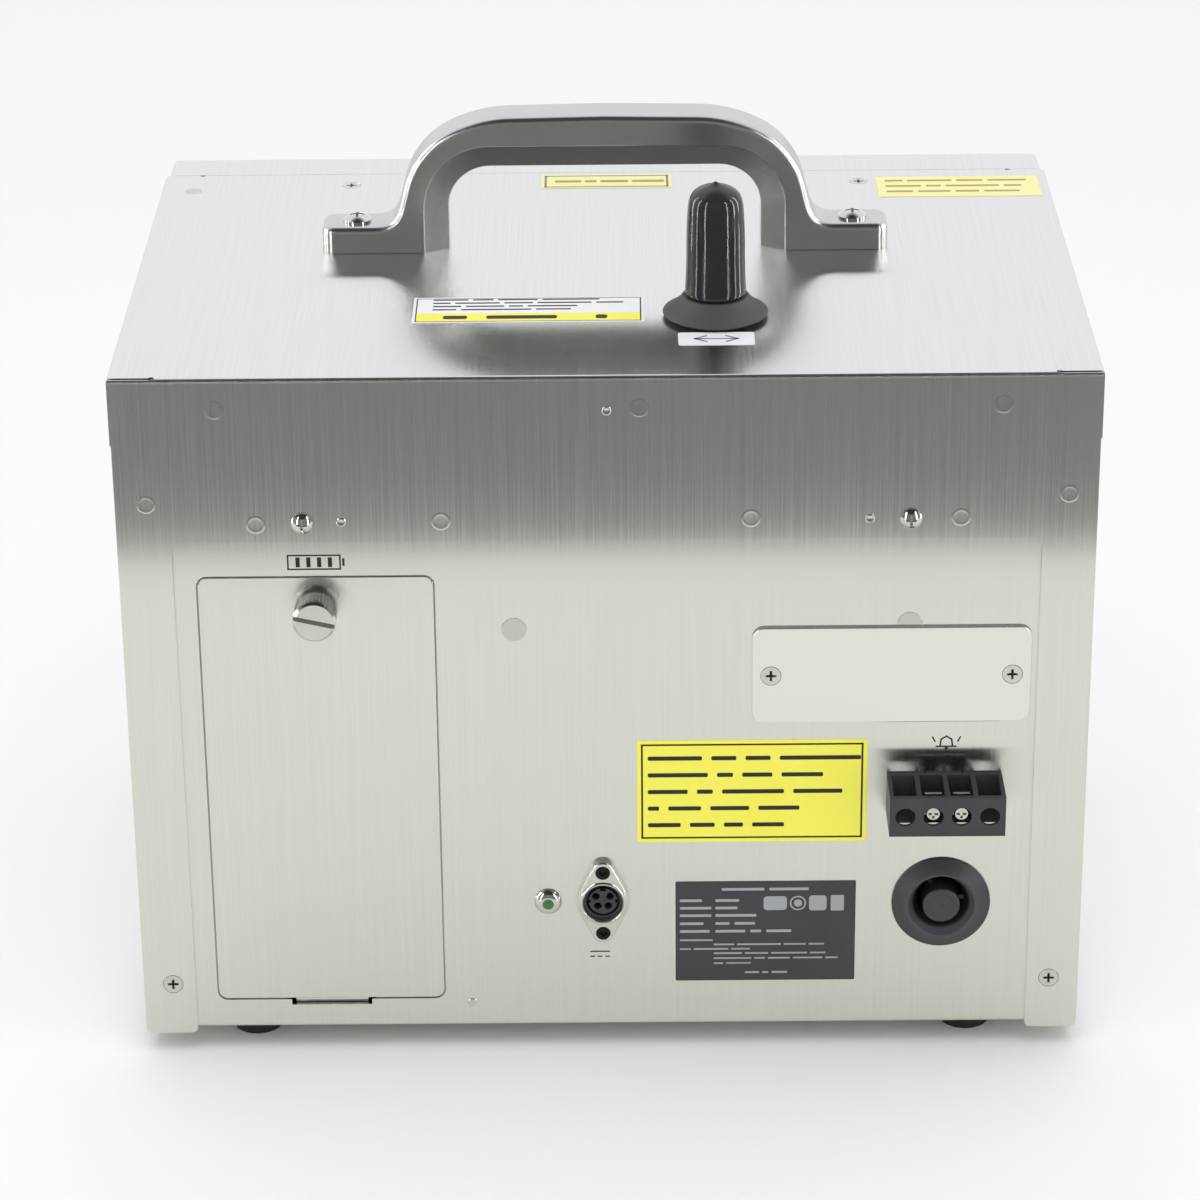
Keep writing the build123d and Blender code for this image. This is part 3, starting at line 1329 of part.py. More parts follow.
for name, x, y, width, depth in board_sets:
    with BuildPart() as circuit_board:
        with BuildSketch(Plane.XY.offset(floor_z + post_height)):
            with Locations((x, y)):
                RectangleRounded(width, depth, 2.0)
        extrude(amount=board)
        # parts along the board: a row of chips and a connector
        with BuildSketch(Plane.XY.offset(floor_z + post_height + board)):
            with Locations((x, y)):
                with GridLocations(width / 4, 0, 3, 1):
                    Rectangle(width / 8, width / 8)
                with Locations((0, depth / 2 - 2 * post_in)):
                    Rectangle(width / 3, post_in)
        extrude(amount=chip_height)
    circuit_board.part.label = name
    export_step(circuit_board.part, f"parts/{name}.step")
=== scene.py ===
"""Looks of an airborne particle counter: steel case, cast handle, capped inlet, rear fittings.

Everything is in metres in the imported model's frame: X across the case, Y from the rear plate
towards the hidden front, Z up from the bench. Sizes are written in millimetres and turned into
metres by MM, apart from the bench's and the lamps', which are written in metres.
"""

import math

import bmesh
import bpy
from mathutils import Matrix, Vector


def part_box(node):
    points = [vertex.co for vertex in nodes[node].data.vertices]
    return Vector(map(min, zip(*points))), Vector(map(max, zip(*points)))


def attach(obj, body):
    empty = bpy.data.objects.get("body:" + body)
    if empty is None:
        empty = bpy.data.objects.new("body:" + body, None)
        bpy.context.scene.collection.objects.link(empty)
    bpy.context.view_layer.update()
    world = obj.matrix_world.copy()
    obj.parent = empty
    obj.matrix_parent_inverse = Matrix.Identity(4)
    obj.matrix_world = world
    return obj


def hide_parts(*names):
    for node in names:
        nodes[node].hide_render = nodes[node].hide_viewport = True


MM = 0.001
PANEL_SET_BACK = 1.2  # the rear panel's face lies this far behind the rear frame's

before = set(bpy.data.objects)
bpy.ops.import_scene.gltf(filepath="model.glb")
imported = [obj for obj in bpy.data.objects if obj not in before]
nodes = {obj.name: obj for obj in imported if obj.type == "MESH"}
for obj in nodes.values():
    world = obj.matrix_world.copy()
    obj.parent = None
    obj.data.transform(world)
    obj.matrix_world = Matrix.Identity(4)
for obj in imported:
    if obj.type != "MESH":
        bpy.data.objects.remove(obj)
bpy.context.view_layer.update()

# Where the main faces of the case lie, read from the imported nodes.
cover_low, cover_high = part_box("top_cover")
top_z = cover_high.z
rear_y = cover_low.y
panel_y = rear_y + PANEL_SET_BACK * MM


# ---------------------------------------------------------------- shader helpers

# Noise hardly ever leaves this range, so tones and dullness are spread over it.
NOISE_LOW = 0.3
NOISE_HIGH = 0.7
SCRATCH_WIDTH = 0.27  # of one scratch in the sheet, in millimetres
SCRATCH_LENGTH = 60.0
SATIN_CLOUDS = 60.0  # slow changes of tone over a casting, per metre
MOULDED_CLOUDS = 70.0  # and over a moulding
MOULDED_EDGE = 0.2  # radius on a moulding's edges, in millimetres
PORT_EDGE = 0.4  # the exhaust port's edges are rounder
PORT_REACH = 16.0  # the port's painted rings of light and shade are laid out over this radius, in millimetres
EDGE_SAMPLES = 8  # enough for a smooth line of light along an edge


def paint(code):
    """An sRGB hex colour as the linear colour that Blender's sockets take."""
    channels = [int(code[i : i + 2], 16) / 255 for i in (1, 3, 5)]
    linear = [c / 12.92 if c <= 0.04045 else ((c + 0.055) / 1.055) ** 2.4 for c in channels]
    return (*linear, 1.0)


def add(tree, kind, sockets=None, **settings):
    """One node with its settings. A socket given another node's output is linked to it."""
    made = tree.nodes.new("ShaderNode" + kind)
    for name, value in settings.items():
        setattr(made, name, value)
    for name, value in (sockets or {}).items():
        if isinstance(value, bpy.types.NodeSocket):
            tree.links.new(value, made.inputs[name])
        else:
            made.inputs[name].default_value = value
    return made


def new_finish(name):
    """An empty material and its node tree, with the output node ready."""
    finish = bpy.data.materials.new(name)
    finish.use_nodes = True
    tree = finish.node_tree
    tree.nodes.clear()
    return finish, tree, add(tree, "OutputMaterial")


def close(tree, output, shader):
    """Joins the finished shader to the material's output."""
    tree.links.new(shader.outputs[0], output.inputs["Surface"])


def brushed(name, dark, light, roughness, wear=0.11):
    """Linished stainless sheet: long fine scratches in one direction, which draw reflections out
    sideways and leave them clear along the grain. Wear is how far the scratches' depth, and so
    their dullness, differs from one to the next. The grain runs front to back on flat tops and
    sides and up and down on the rear plates, as it does on one folded sheet."""
    finish, tree, output = new_finish(name)
    place = add(tree, "TexCoord")
    long = 1 / (SCRATCH_LENGTH * MM)
    fine = 1 / (SCRATCH_WIDTH * MM)
    across = (fine, long, long)
    along = (long, long, fine)
    flat = add(tree, "Mapping", {"Vector": place.outputs["Object"], "Scale": across})
    side = add(tree, "Mapping", {"Vector": place.outputs["Object"], "Scale": along})
    flat_grain = add(tree, "TexNoise", {"Vector": flat.outputs[0], "Scale": 1.0, "Detail": 2.0})
    side_grain = add(tree, "TexNoise", {"Vector": side.outputs[0], "Scale": 1.0, "Detail": 2.0})
    facing = add(tree, "SeparateXYZ", {"Vector": place.outputs["Normal"]})
    sideways = add(tree, "Math", {0: facing.outputs["X"]}, operation="ABSOLUTE")
    grain = add(
        tree,
        "Mix",
        {0: sideways.outputs[0], 2: flat_grain.outputs["Fac"], 3: side_grain.outputs["Fac"]},
    )
    spread = {"Value": grain.outputs[0], "From Min": NOISE_LOW, "From Max": NOISE_HIGH}
    tone = add(tree, "MapRange", spread)
    shades = {0: tone.outputs[0], 6: paint(dark), 7: paint(light)}
    colour = add(tree, "Mix", shades, data_type="RGBA")
    limits = {"To Min": roughness * (1 - wear), "To Max": roughness * (1 + wear)}
    dullness = add(tree, "MapRange", {**spread, **limits})
    sideways_pull = add(tree, "CombineXYZ", {"X": 1.0, "Y": 0.0, "Z": 0.001})
    bump = add(tree, "Bump", {"Height": grain.outputs[0], "Strength": 0.08, "Distance": 0.004 * MM})
    metal = add(
        tree,
        "BsdfPrincipled",
        {
            "Base Color": colour.outputs[2],
            "Metallic": 1.0,
            "Roughness": dullness.outputs["Result"],
            "Anisotropic": 1.0,
            "Tangent": sideways_pull.outputs[0],
            "Normal": bump.outputs[0],
        },
    )
    close(tree, output, metal)
    return finish


def cast_metal(name, dark, light, roughness, grit=0.35, edge=0.25):
    """Solid metal with a fine satin skin: soft even reflections, and edges broken by tumbling,
    which catch a thin line of light."""
    finish, tree, output = new_finish(name)
    place = add(tree, "TexCoord")
    size = 1 / (grit * MM)
    sand = add(tree, "TexNoise", {"Vector": place.outputs["Object"], "Scale": size, "Detail": 2.0})
    patches = {"Vector": place.outputs["Object"], "Scale": SATIN_CLOUDS, "Detail": 2.0}
    cloud = add(tree, "TexNoise", patches)
    spread = {"Value": cloud.outputs["Fac"], "From Min": NOISE_LOW, "From Max": NOISE_HIGH}
    tone = add(tree, "MapRange", spread)
    shades = {0: tone.outputs[0], 6: paint(dark), 7: paint(light)}
    colour = add(tree, "Mix", shades, data_type="RGBA")
    broken = add(tree, "Bevel", {"Radius": edge * MM}, samples=EDGE_SAMPLES)
    bump = add(
        tree,
        "Bump",
        {
            "Height": sand.outputs["Fac"],
            "Strength": 0.15,
            "Distance": 0.006 * MM,
            "Normal": broken.outputs[0],
        },
    )
    metal = add(
        tree,
        "BsdfPrincipled",
        {
            "Base Color": colour.outputs[2],
            "Metallic": 1.0,
            "Roughness": roughness,
            "Normal": bump.outputs[0],
        },
    )
    close(tree, output, metal)
    return finish


def moulding(name, dark, light, roughness, grain=0.5, depth=0.01):
    """Moulded plastic or rubber: a fine even grain that keeps its shine soft, and small radii on
    its edges, as every moulding has."""
    finish, tree, output = new_finish(name)
    place = add(tree, "TexCoord")
    size = 1 / (grain * MM)
    skin = add(tree, "TexNoise", {"Vector": place.outputs["Object"], "Scale": size, "Detail": 3.0})
    patches = {"Vector": place.outputs["Object"], "Scale": MOULDED_CLOUDS, "Detail": 2.0}
    cloud = add(tree, "TexNoise", patches)
    spread = {"Value": cloud.outputs["Fac"], "From Min": NOISE_LOW, "From Max": NOISE_HIGH}
    tone = add(tree, "MapRange", spread)
    shades = {0: tone.outputs[0], 6: paint(dark), 7: paint(light)}
    colour = add(tree, "Mix", shades, data_type="RGBA")
    eased = add(tree, "Bevel", {"Radius": MOULDED_EDGE * MM}, samples=EDGE_SAMPLES)
    bump = add(
        tree,
        "Bump",
        {
            "Height": skin.outputs["Fac"],
            "Strength": 0.5,
            "Distance": depth * MM,
            "Normal": eased.outputs[0],
        },
    )
    body = add(
        tree,
        "BsdfPrincipled",
        {
            "Base Color": colour.outputs[2],
            "Roughness": roughness,
            "Normal": bump.outputs[0],
        },
    )
    close(tree, output, body)
    return finish


def port_nylon_painted_light_and_shade():
    """Satin black nylon for the exhaust port, with light and shade painted in rings round its axis:
    a black gap of painted shade between the grey cone and core, where the air comes out, a darker
    ring and dot of painted shade where the core has a turned ring and a dimple, and a lighter band
    of painted light on the cone's inner wall."""
    finish, tree, output = new_finish("black_nylon_port_painted_light_and_shade")
    low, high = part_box("exhaust_port")
    centre = (low + high) / 2
    place = add(tree, "TexCoord")
    size = 1 / (PORT_REACH * MM)
    flat = add(
        tree,
        "Mapping",
        {
            "Vector": place.outputs["Object"],
            "Location": (-centre.x * size, 0, -centre.z * size),
            "Scale": (size, 0, size),
        },
    )
    out = add(tree, "VectorMath", {0: flat.outputs[0]}, operation="LENGTH")
    painted_rings = add(tree, "ValToRGB", {"Fac": out.outputs["Value"]})
    stops = painted_rings.color_ramp.elements
    painted_bands = (  # radius in millimetres and painted tone there
        # painted shade: the dimple in the core's middle
        (0.0, "#2E3032"),
        (0.9, "#3B3D40"),
        # painted shade: the core's turned ring
        (3.6, "#3B3D40"),
        (3.9, "#2E3032"),
        (4.2, "#3B3D40"),
        (5.7, "#3B3D40"),
        # painted shade: the black gap between core and cone, deep in the bore
        (6.0, "#232426"),
        (8.7, "#232426"),
        # painted light on the cone's inner wall, easing darker out to its rim
        (9.3, "#5A5C5F"),
        (10.8, "#45474A"),
        (12.5, "#3B3D40"),
        (15.6, "#36383B"),
    )
    for number, (radius, shade) in enumerate(painted_bands):
        stop = stops[number] if number < 2 else stops.new(radius / PORT_REACH)
        stop.position = radius / PORT_REACH
        stop.color = paint(shade)
    eased = add(tree, "Bevel", {"Radius": PORT_EDGE * MM}, samples=EDGE_SAMPLES)
    body = add(
        tree,
        "BsdfPrincipled",
        {"Base Color": painted_rings.outputs["Color"], "Roughness": 0.4, "Normal": eased.outputs[0]},
    )
    close(tree, output, body)
    return finish


# ---------------------------------------------------------------- finishes

# 304 stainless sheet, linished: the case, its panels, the door and the blank plate.
# It mirrors what lies straight in front of it and smears it sideways.
sheet_steel = brushed("linished_304_stainless", "#E3E3E0", "#E9E9E6", 0.185)
# The blank plate is cut from brighter sheet, with the protective film only just peeled off.
blank_steel = brushed("bright_304_stainless", "#F1F1EF", "#F3F3F1", 0.22, wear=0.02)
# Cast stainless, satin: the handle, which shows soft grey reflections with bright rims.
handle_steel = cast_metal("satin_cast_stainless", "#CACAC9", "#D0D0CE", 0.25, edge=0.6)
# Nickel plate, bright: screws, terminal clamps, the power socket's shell and the lamp's bezel. It
# gives small parts sharp lights and darks.
nickel = cast_metal("bright_nickel_plate", "#D6D5D0", "#DEDDD8", 0.12, grit=0.2, edge=0.06)
# Dull zinc plate: the battery bay, the door's catch and the brackets inside, an even pale grey.
zinc = cast_metal("dull_zinc_plate", "#B8B8B4", "#C6C6C2", 0.38)
# Gilt brass: the nipple on the sensor block, warm yellow among the greys.
gilt = cast_metal("gilt_brass", "#D9B45C", "#E3C274", 0.25)
# Machined aluminium: the sensor block, laser unit and pump head, a cool grey with a soft shine.
aluminium = cast_metal("machined_aluminium", "#C9CBCF", "#D4D6D9", 0.35)
# Black oxide on steel: the clip behind the door, the light trap and the power socket's screws, near
# black with a thin bright edge.
# The same finish is painted shade on the power socket's contacts, so their holes read dark, and on
# the dark crosses laid in the flat screws' recesses.
black_oxide_and_painted_shade = cast_metal("black_oxide_steel_and_painted_shade", "#26272A", "#303236", 0.4)
# Dip-moulded vinyl: the inlet's cap, glossy and a little uneven, so lamps draw wavy lines in it.
vinyl = moulding("dipped_black_vinyl", "#28292B", "#2D2E30", 0.11, grain=9.0, depth=0.25)
# Nitrile rubber, dull: the inlet's flange, a dark grey with hardly any shine.
flange_rubber = moulding("dull_grey_rubber", "#414346", "#484A4D", 0.6, grain=0.4)
# Solid rubber: feet and pump mounts, near black and matt.
foot_rubber = moulding("black_rubber", "#1B1B1D", "#232325", 0.7)
# Glass-filled nylon: terminal block, socket insert and switch, black with a broad dim shine.
black_nylon = moulding("black_glass_filled_nylon", "#34363A", "#3C3E41", 0.42, grain=0.3)
# Light grey ABS: display module, button and filter; the hoses inside share its plain pale grey.
grey_abs = moulding("grey_abs", "#A9ABAE", "#B2B4B7", 0.5)
# Sprayed enamel: the pump motor and the battery pack, dark with a soft shine.
motor_enamel = moulding("dark_motor_enamel", "#2E3136", "#383B40", 0.45)
# Epoxy board: the circuit boards, leaf green and half dull.
board_epoxy = moulding("green_board_epoxy", "#1E5A36", "#24663E", 0.4)
# Tinted acrylic: the display window, almost black with clear reflections.
dark_acrylic = moulding("smoked_acrylic", "#101214", "#15181A", 0.06, grain=5.0, depth=0.002)
# Green lens over the power lamp, unlit: deep green with a wet shine.
lens_green = moulding("green_lens", "#2B5C38", "#3C7A4A", 0.1, grain=1.0)

# Vinyl film of the labels: smooth, with a soft shine. Strong yellow on the rear and in the white
# label's band, paler yellow at the far edge of the top, and white.
yellow_film = moulding("yellow_vinyl_film", "#FAF354", "#FCF55C", 0.35, grain=2.0, depth=0.004)
pale_yellow_film = moulding(
    "pale_yellow_vinyl_film", "#F2EC9E", "#F4EFA8", 0.4, grain=2.0, depth=0.004
)
white_film = moulding("white_vinyl_film", "#EDEEEF", "#F3F4F5", 0.35, grain=2.0, depth=0.004)
# Black anodised plate beside the power socket: slate dark, so that its small pale print reads.
black_plate = moulding("black_anodised_plate", "#34363A", "#3A3C40", 0.38, grain=0.6, depth=0.004)
# Screen-printed ink, dull and flat: black on film and on the panel, grey for the arrow and a frame,
# pale on the black plate, and brown that has faded on the far labels.
black_ink = moulding("black_screen_print", "#1D1E1D", "#232423", 0.5)
grey_ink = moulding("grey_screen_print", "#7F8590", "#878D97", 0.5)
pale_ink = moulding("pale_screen_print", "#9DA0A4", "#A6A9AC", 0.5)
brown_ink = moulding("faded_brown_print", "#A59B55", "#AEA45F", 0.5)
# The sheet where something was welded behind it: duller and darker, so the marks read as rounds.
dull_steel = brushed("heat_marked_304_stainless", "#CECECA", "#D6D6D2", 0.24)

FINISHES = {
    "top_cover": sheet_steel,
    "tray": sheet_steel,
    "side_panel_left": sheet_steel,
    "side_panel_right": sheet_steel,
    "front_panel": sheet_steel,
    "front_rail": sheet_steel,
    "battery_door": sheet_steel,
    "option_plate": blank_steel,
    "battery_bay": zinc,
    "door_catch": zinc,
    "handle": handle_steel,
    "handle_nut_plates": zinc,
    "handle_screws": nickel,
    "rear_screws": nickel,
    "flat_screws": nickel,
    "foot_screws": nickel,
    "thumb_screw": nickel,
    "screw_clip": black_oxide_and_painted_shade,
    "inlet_tube": zinc,
    "inlet_flange": flange_rubber,
    "inlet_cap": vinyl,
    "sensor_shelf": zinc,
    "sensor_block": aluminium,
    "laser_unit": aluminium,
    "light_trap": black_oxide_and_painted_shade,
    "detector_board": board_epoxy,
    "sensor_nipple": gilt,
    "sample_hose": grey_abs,
    "exhaust_hose": grey_abs,
    "exhaust_filter": grey_abs,
    "filter_saddle": zinc,
    "exhaust_port": port_nylon_painted_light_and_shade(),
    "pump_mounts": foot_rubber,
    "pump_head": aluminium,
    "pump_motor": motor_enamel,
    "battery_pack": motor_enamel,
    "terminal_block": black_nylon,
    "terminal_contacts": nickel,
    "terminal_screw_left": nickel,
    "terminal_screw_right": nickel,
    "terminal_clamp_left": nickel,
    "terminal_clamp_right": nickel,
    "terminal_board": board_epoxy,
    "socket_flange": nickel,
    "socket_insert": black_nylon,
    # painted shade: the contacts are made near black so the socket's holes read as deep shade
    "socket_contacts": black_oxide_and_painted_shade,
    "socket_screws": black_oxide_and_painted_shade,
    "indicator_bezel": nickel,
    "indicator_lens": lens_green,
    "display_lens": dark_acrylic,
    "display_module": grey_abs,
    "power_button": grey_abs,
    "power_switch": black_nylon,
    "board_posts": zinc,
    "main_board": board_epoxy,
    "power_board": board_epoxy,
    "foot_rear_left": foot_rubber,
    "foot_rear_right": foot_rubber,
    "foot_front_left": foot_rubber,
    "foot_front_right": foot_rubber,
}

for name, finish in FINISHES.items():
    nodes[name].material_slots[0].material = finish


# ---------------------------------------------------------------- placing and making pieces

PANEL_SHIFT = 0.6  # seen from above, print on the set-back panel has to sit this much lower
FILM = 0.08  # thickness of a label
INK = 0.02  # thickness of print
BAR_ROUNDING = 0.2  # a printed bar's corner radius, as a share of its height
SAME_POINT = 0.0005  # points nearer than this, in millimetres, are one


def rear_seat(x, drop, face=rear_y):
    """A seat on the rear: x across, y up, z out of the face. Drop is below the cover's top."""
    turn = Matrix(((1, 0, 0), (0, 0, -1), (0, 1, 0))).to_4x4()
    return Matrix.Translation((x * MM, face, top_z - drop * MM)) @ turn


def panel_seat(x, drop):
    """A seat on the rear panel, which lies behind the rear frame."""
    return rear_seat(x, drop + PANEL_SHIFT, panel_y)


def top_seat(x, back):
    """A seat on the cover's top: x across, y away from the rear face, z up."""
    return Matrix.Translation((x * MM, rear_y + back * MM, top_z))


def shift(x, y, z=0.0):
    """A move within a seat, in millimetres."""
    return Matrix.Translation((x * MM, y * MM, z * MM))


def merge_in(shape, part, seat, finish=0):
    """Puts a part made at the origin into the shape, on its seat. Finish says which of the
    shape's finishes it takes."""
    for face in part.faces:
        face.material_index = finish
    bmesh.ops.transform(part, matrix=seat, verts=part.verts)
    carrier = bpy.data.meshes.new("carrier")
    part.to_mesh(carrier)
    part.free()
    shape.from_mesh(carrier)
    bpy.data.meshes.remove(carrier)


def plate(width, height, thick, radius=0.0, segments=4):
    """A flat plate standing on z = 0, centred, with rounded corners."""
    part = bmesh.new()
    bmesh.ops.create_grid(part, x_segments=1, y_segments=1, size=0.5)
    bmesh.ops.scale(part, vec=(width * MM, height * MM, 1), verts=part.verts)
    if radius:
        bmesh.ops.bevel(
            part,
            geom=part.verts[:],
            offset=radius * MM,
            segments=segments,
            profile=0.5,
            affect="VERTICES",
            material=-1,
        )
    grown = bmesh.ops.extrude_face_region(part, geom=part.faces[:])
    raised = [g for g in grown["geom"] if isinstance(g, bmesh.types.BMVert)]
    bmesh.ops.translate(part, verts=raised, vec=(0, 0, thick * MM))
    bmesh.ops.recalc_face_normals(part, faces=part.faces)
    return part


def turned(outline, steps):
    """A turned part: outline gives (radius, height) points in millimetres, round the z axis."""
    part = bmesh.new()
    rim = [part.verts.new((radius * MM, 0, height * MM)) for radius, height in outline]
    edges = [part.edges.new(pair) for pair in zip(rim, rim[1:])]
    bmesh.ops.spin(
        part,
        geom=rim + edges,
        axis=(0, 0, 1),
        cent=(0, 0, 0),
        steps=steps,
        angle=2 * math.pi,
        use_merge=True,
    )
    bmesh.ops.remove_doubles(part, verts=part.verts, dist=SAME_POINT * MM)
    bmesh.ops.recalc_face_normals(part, faces=part.faces)
    return part


def ring(outer, inner, thick):
    """A flat ring standing on z = 0."""
    return turned(((inner, 0), (outer, 0), (outer, thick), (inner, thick), (inner, 0)), steps=32)


def stroke(shape, seat, start, end, width, finish=0):
    """A straight printed line from start to end on the seat."""
    run = Vector(end) - Vector(start)
    middle = (Vector(start) + Vector(end)) / 2
    lie = Matrix.Rotation(math.atan2(run.y, run.x), 4, "Z")
    merge_in(shape, plate(run.length + width, width, INK), seat @ shift(*middle) @ lie, finish)


def finish_piece(name, shape, finishes, body="case", smooth=None):
    """Makes a piece of the shape, with its finishes, riding on a body."""
    mesh = bpy.data.meshes.new(name)
    shape.to_mesh(mesh)
    shape.free()
    for finish in finishes:
        mesh.materials.append(finish)
    if smooth is not None:
        mesh.shade_smooth()
        mesh.set_sharp_from_angle(angle=math.radians(smooth))
    made = bpy.data.objects.new(name, mesh)
    bpy.context.scene.collection.objects.link(made)
    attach(made, body)
    return made


# ---------------------------------------------------------------- labels and printing


def add_words(shape, seat, words, left, centre_y, gap, bar, finish):
    """One line of print: each word is a plain bar."""
    edge = left
    for length in words:
        middle = seat @ shift(edge + length / 2, centre_y, FILM)
        merge_in(shape, plate(length, bar, INK, bar * BAR_ROUNDING, 1), middle, finish)
        edge += length + gap


def add_border(shape, seat, width, height, inset, line, finish):
    """A printed frame round a label."""
    across = width / 2 - inset
    up = height / 2 - inset
    lifted = seat @ shift(0, 0, FILM)
    for start, end in (
        ((-across, -up), (across, -up)),
        ((across, -up), (across, up)),
        ((across, up), (-across, up)),
        ((-across, up), (-across, -up)),
    ):
        stroke(shape, lifted, start, end, line, finish)


def build_yellow_label():
    """Yellow film on the rear panel: a black frame and five lines of print."""
    width, height = 72.1, 35.8
    seat = panel_seat(44.85, 139.6)
    shape = bmesh.new()
    merge_in(shape, plate(width, height, FILM, 0.8), seat, 0)
    add_border(shape, seat, width, height, 1.6, 0.6, 1)
    lines = (
        (17.0, 7.8, 7.8, 25.4),
        (18.8, 5.0, 9.4, 13.0),
        (12.5, 5.0, 19.4, 15.4),
        (3.5, 10.3, 12.2, 12.9),
        (10.3, 7.8, 6.0, 10.0),
    )
    left = 3.4 - width / 2
    first = height / 2 - 6.3
    for row, words in enumerate(lines):
        add_words(shape, seat, words, left, first - 5.85 * row, 2.9, 1.45, 1)
    finish_piece("yellow_rear_label", shape, [yellow_film, black_ink])


def build_rating_plate():
    """Black plate by the power socket: small pale print and a few plain marks."""
    width, height = 57.2, 35.9
    seat = panel_seat(49.4, 189.55)
    shape = bmesh.new()
    merge_in(shape, plate(width, height, FILM, 0.5), seat, 0)
    left = 1.4 - width / 2
    top = height / 2
    add_words(shape, seat, (13.5, 12.5), -13.9, top - 2.9, 1.6, 0.95, 1)
    values = (  # a name's length, the words of its value, and how far below the top they stand
        (7.0, (7.5,), 6.9),
        (10.0, (7.0,), 9.6),
        (10.0, (13.0,), 12.3),
        (7.5, (4.5, 6.5), 15.2),
        (9.5, (9.5, 3.5, 8.0), 18.0),
    )
    for name_length, value, below in values:
        add_words(shape, seat, (name_length,), left, top - below, 1.2, 0.95, 1)
        add_words(shape, seat, value, left + 11.3, top - below, 1.6, 0.95, 1)
    small = (  # inset from the left, words, and how far below the top they stand
        (0.0, (10.5,), 21.2),
        (10.8, (6.5, 14.0, 7.0, 5.0), 22.8),
        (0.0, (3.5, 11.0, 6.0), 24.4),
        (10.8, (9.0, 7.5, 11.5, 5.0), 26.0),
        (10.8, (12.0, 3.5, 7.0, 9.5, 4.0), 27.8),
        (10.8, (3.0, 8.0), 29.6),
    )
    for inset, words, below in small:
        add_words(shape, seat, words, left + inset, top - below, 0.9, 0.6, 1)
    add_words(shape, seat, (4.5, 2.0, 5.0), -6.4, top - 33.0, 1.0, 0.7, 1)
    lifted = seat @ shift(0, 0, FILM)
    mark_row = top - 8.0
    merge_in(shape, plate(7.4, 5.0, INK, 1.2), lifted @ shift(3.1, mark_row), 1)
    merge_in(shape, ring(2.6, 2.1, INK), lifted @ shift(10.3, mark_row), 1)
    merge_in(shape, ring(1.3, 0.0, INK), lifted @ shift(10.3, mark_row), 1)
    merge_in(shape, plate(5.6, 5.4, INK, 1.0), lifted @ shift(16.6, mark_row), 1)
    merge_in(shape, plate(4.2, 5.6, INK, 0.4), lifted @ shift(22.8, mark_row), 1)
    finish_piece("rating_plate", shape, [black_plate, pale_ink])


def build_white_top_label():
    """White film with a yellow band, on the top in front of the handle."""
    width, height = 72.2, 22.5
    seat = top_seat(-23.9, 57.85)
    shape = bmesh.new()
    merge_in(shape, plate(width, height, FILM, 0.5), seat, 0)
    band = 7.0
    inset = 1.1
    band_y = inset + (band - height) / 2
    merge_in(shape, plate(width - 2 * inset, band, INK), seat @ shift(0, band_y, FILM), 2)
    add_border(shape, seat, width, height, inset, 0.4, 1)
    lines = (
        (11.0, 6.5, 12.5, 18.0),
        (5.5, 14.0, 9.0, 17.0, 8.5),
        (9.0, 12.0, 4.5, 15.5),
        (7.5, 22.0, 11.0),
    )
    for row, words in enumerate(lines):
        add_words(shape, seat, words, -30.0, 9.0 - 2.9 * row, 1.4, 1.1, 1)
    lifted = seat @ shift(0, 0, INK)
    add_words(shape, lifted, (7.5, 22.0), -26.5, band_y, 6.0, 3.0, 1)
    add_words(shape, lifted, (3.6,), 21.0, band_y, 1.0, 3.4, 1)
    finish_piece("white_top_label", shape, [white_film, black_ink, yellow_film])


def build_inlet_tag():
    """Small white film in front of the inlet, with an arrow that has a head at each end."""
    seat = top_seat(34.1, 30.95)
    shape = bmesh.new()
    merge_in(shape, plate(23.4, 11.1, FILM, 1.2, 6), seat, 0)
    lifted = seat @ shift(0, 0, FILM)
    line = 0.9
    stroke(shape, lifted, (-6.5, 0.0), (6.5, 0.0), line, 1)
    for side in (-1, 1):
        stroke(shape, lifted, (side * 3.2, 2.4), (side * 6.5, 0.0), line, 1)
        stroke(shape, lifted, (side * 3.2, -2.4), (side * 6.5, 0.0), line, 1)
    finish_piece("inlet_tag", shape, [white_film, grey_ink])


def build_far_labels():
    """Two pale yellow films near the far edge of the top, one plain and one framed."""
    seat = top_seat(119.2, 173.6)
    shape = bmesh.new()
    merge_in(shape, plate(54.8, 21.0, FILM, 0.4), seat, 0)
    lines = ((6.0, 15.0, 9.0, 13.0), (12.0, 5.0, 18.0, 6.0), (9.0, 11.0, 8.0, 12.0))
    for row, words in enumerate(lines):
        add_words(shape, seat, words, -24.5, 6.2 - 5.6 * row, 1.6, 1.7, 1)
    finish_piece("far_corner_label", shape, [pale_yellow_film, brown_ink])
    seat = top_seat(0.5, 181.85)
    width, height = 44.4, 14.5
    shape = bmesh.new()
    merge_in(shape, plate(width, height, FILM, 0.4), seat, 0)
    add_border(shape, seat, width, height, 1.6, 0.8, 1)
    add_words(shape, seat, (9.0, 4.0, 9.5, 11.0), -17.5, 0.0, 1.2, 2.2, 2)
    finish_piece("far_middle_label", shape, [pale_yellow_film, grey_ink, brown_ink])


